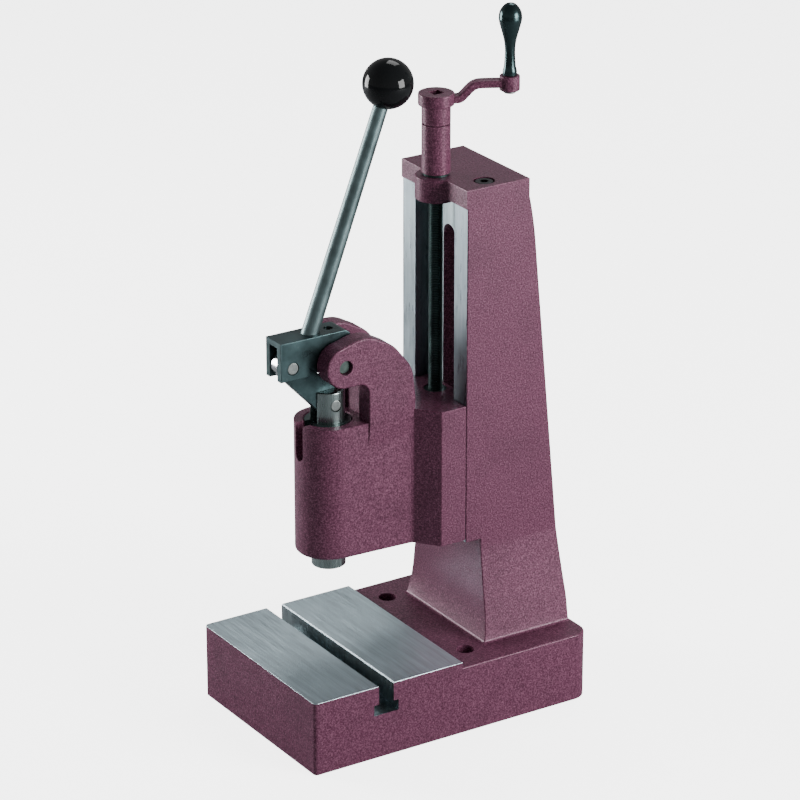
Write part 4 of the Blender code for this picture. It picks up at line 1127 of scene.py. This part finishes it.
def make_floor():
    """A plain pale floor, which throws less light back at the press than it shows."""
    n = Nodes("studio_floor")
    tone = n.ramp(n.noise(6, 2.0), [(0.3, (0.84, 0.84, 0.84)), (0.7, (0.90, 0.90, 0.90))])
    n.fill(Base_Color=tone, Roughness=1.0, Specular_IOR_Level=0.0)
    n.fill(Emission_Color=(1, 1, 1, 1), Emission_Strength=FLOOR_GLOW)
    quiet = n.add("ShaderNodeBsdfDiffuse", Color=(0.30, 0.31, 0.32, 1))
    choice = n.add("ShaderNodeMixShader")
    n.link(n.add("ShaderNodeLightPath").outputs["Is Camera Ray"], choice.inputs["Fac"])
    n.link(quiet.outputs["BSDF"], choice.inputs[1])
    n.link(n.shader.outputs["BSDF"], choice.inputs[2])
    n.link(choice.outputs["Shader"], n.tree.nodes["Material Output"].inputs["Surface"])
    reach = 6000.0
    floor = block("studio_floor", (-reach, -reach, -20), (reach, reach, -0.05))
    floor.data.materials.append(n.material)


def aim(thing, spot, target):
    """Puts a light or a camera at the spot, looking at the target."""
    thing.location = Vector(spot) * MM
    thing.rotation_euler = (Vector(target) - Vector(spot)).to_track_quat("-Z", "Y").to_euler()


def make_light(name, spot, size, power):
    data = bpy.data.lights.new(name, "AREA")
    data.shape = "RECTANGLE"
    data.size, data.size_y = (side * MM for side in size)
    data.energy = power
    aim(new_object(name, data), spot, LIGHTS_AIM)


def make_world():
    """A white backdrop behind the press, which lights it softly and a little less from overhead."""
    world = bpy.data.worlds.new("studio")
    world.use_nodes = True
    nodes, links = world.node_tree.nodes, world.node_tree.links
    soft = nodes["Background"]
    soft.inputs["Strength"].default_value = SOFT_STRENGTH
    coordinates = nodes.new("ShaderNodeTexCoord")
    height = nodes.new("ShaderNodeSeparateXYZ")
    shade = nodes.new("ShaderNodeValToRGB")
    shade.color_ramp.elements[0].color = (1, 1, 1, 1)
    shade.color_ramp.elements[1].color = (0.55, 0.57, 0.60, 1)
    links.new(coordinates.outputs["Generated"], height.inputs["Vector"])
    links.new(height.outputs["Z"], shade.inputs["Fac"])
    links.new(shade.outputs["Color"], soft.inputs["Color"])
    backdrop = nodes.new("ShaderNodeBackground")
    backdrop.inputs["Color"].default_value = (1, 1, 1, 1)
    backdrop.inputs["Strength"].default_value = BACKDROP_STRENGTH
    choice = nodes.new("ShaderNodeMixShader")
    links.new(nodes.new("ShaderNodeLightPath").outputs["Is Camera Ray"], choice.inputs["Fac"])
    links.new(soft.outputs["Background"], choice.inputs[1])
    links.new(backdrop.outputs["Background"], choice.inputs[2])
    links.new(choice.outputs["Shader"], nodes["World Output"].inputs["Surface"])
    bpy.context.scene.world = world


def make_camera():
    """A camera without lens shift, fitted to the photo's points."""
    data = bpy.data.cameras.new("camera")
    data.lens = LENS
    data.sensor_width = 36
    data.clip_end = 50
    camera = new_object("camera", data)
    level = Vector((-math.sin(CAMERA_AZIMUTH), math.cos(CAMERA_AZIMUTH), 0))
    look = math.cos(CAMERA_PITCH) * level - math.sin(CAMERA_PITCH) * Vector(UP)
    aim(camera, CAMERA_SPOT, CAMERA_SPOT + look)
    bpy.context.scene.camera = camera


make_camera()
for light_name, (light_spot, light_size, light_power) in LIGHTS.items():
    make_light(light_name, light_spot, light_size, light_power)
make_world()
make_floor()
make_frame()
make_top_plate()
make_screws()
make_thread()
make_journal()
make_sleeve()
make_crank()
make_grip()
make_head()
make_clamp()
make_return_spring()
make_ram()
make_link()
make_lever_block()
make_lever_pins()
make_lever_rod()
make_ball()
dress_kept_nodes()
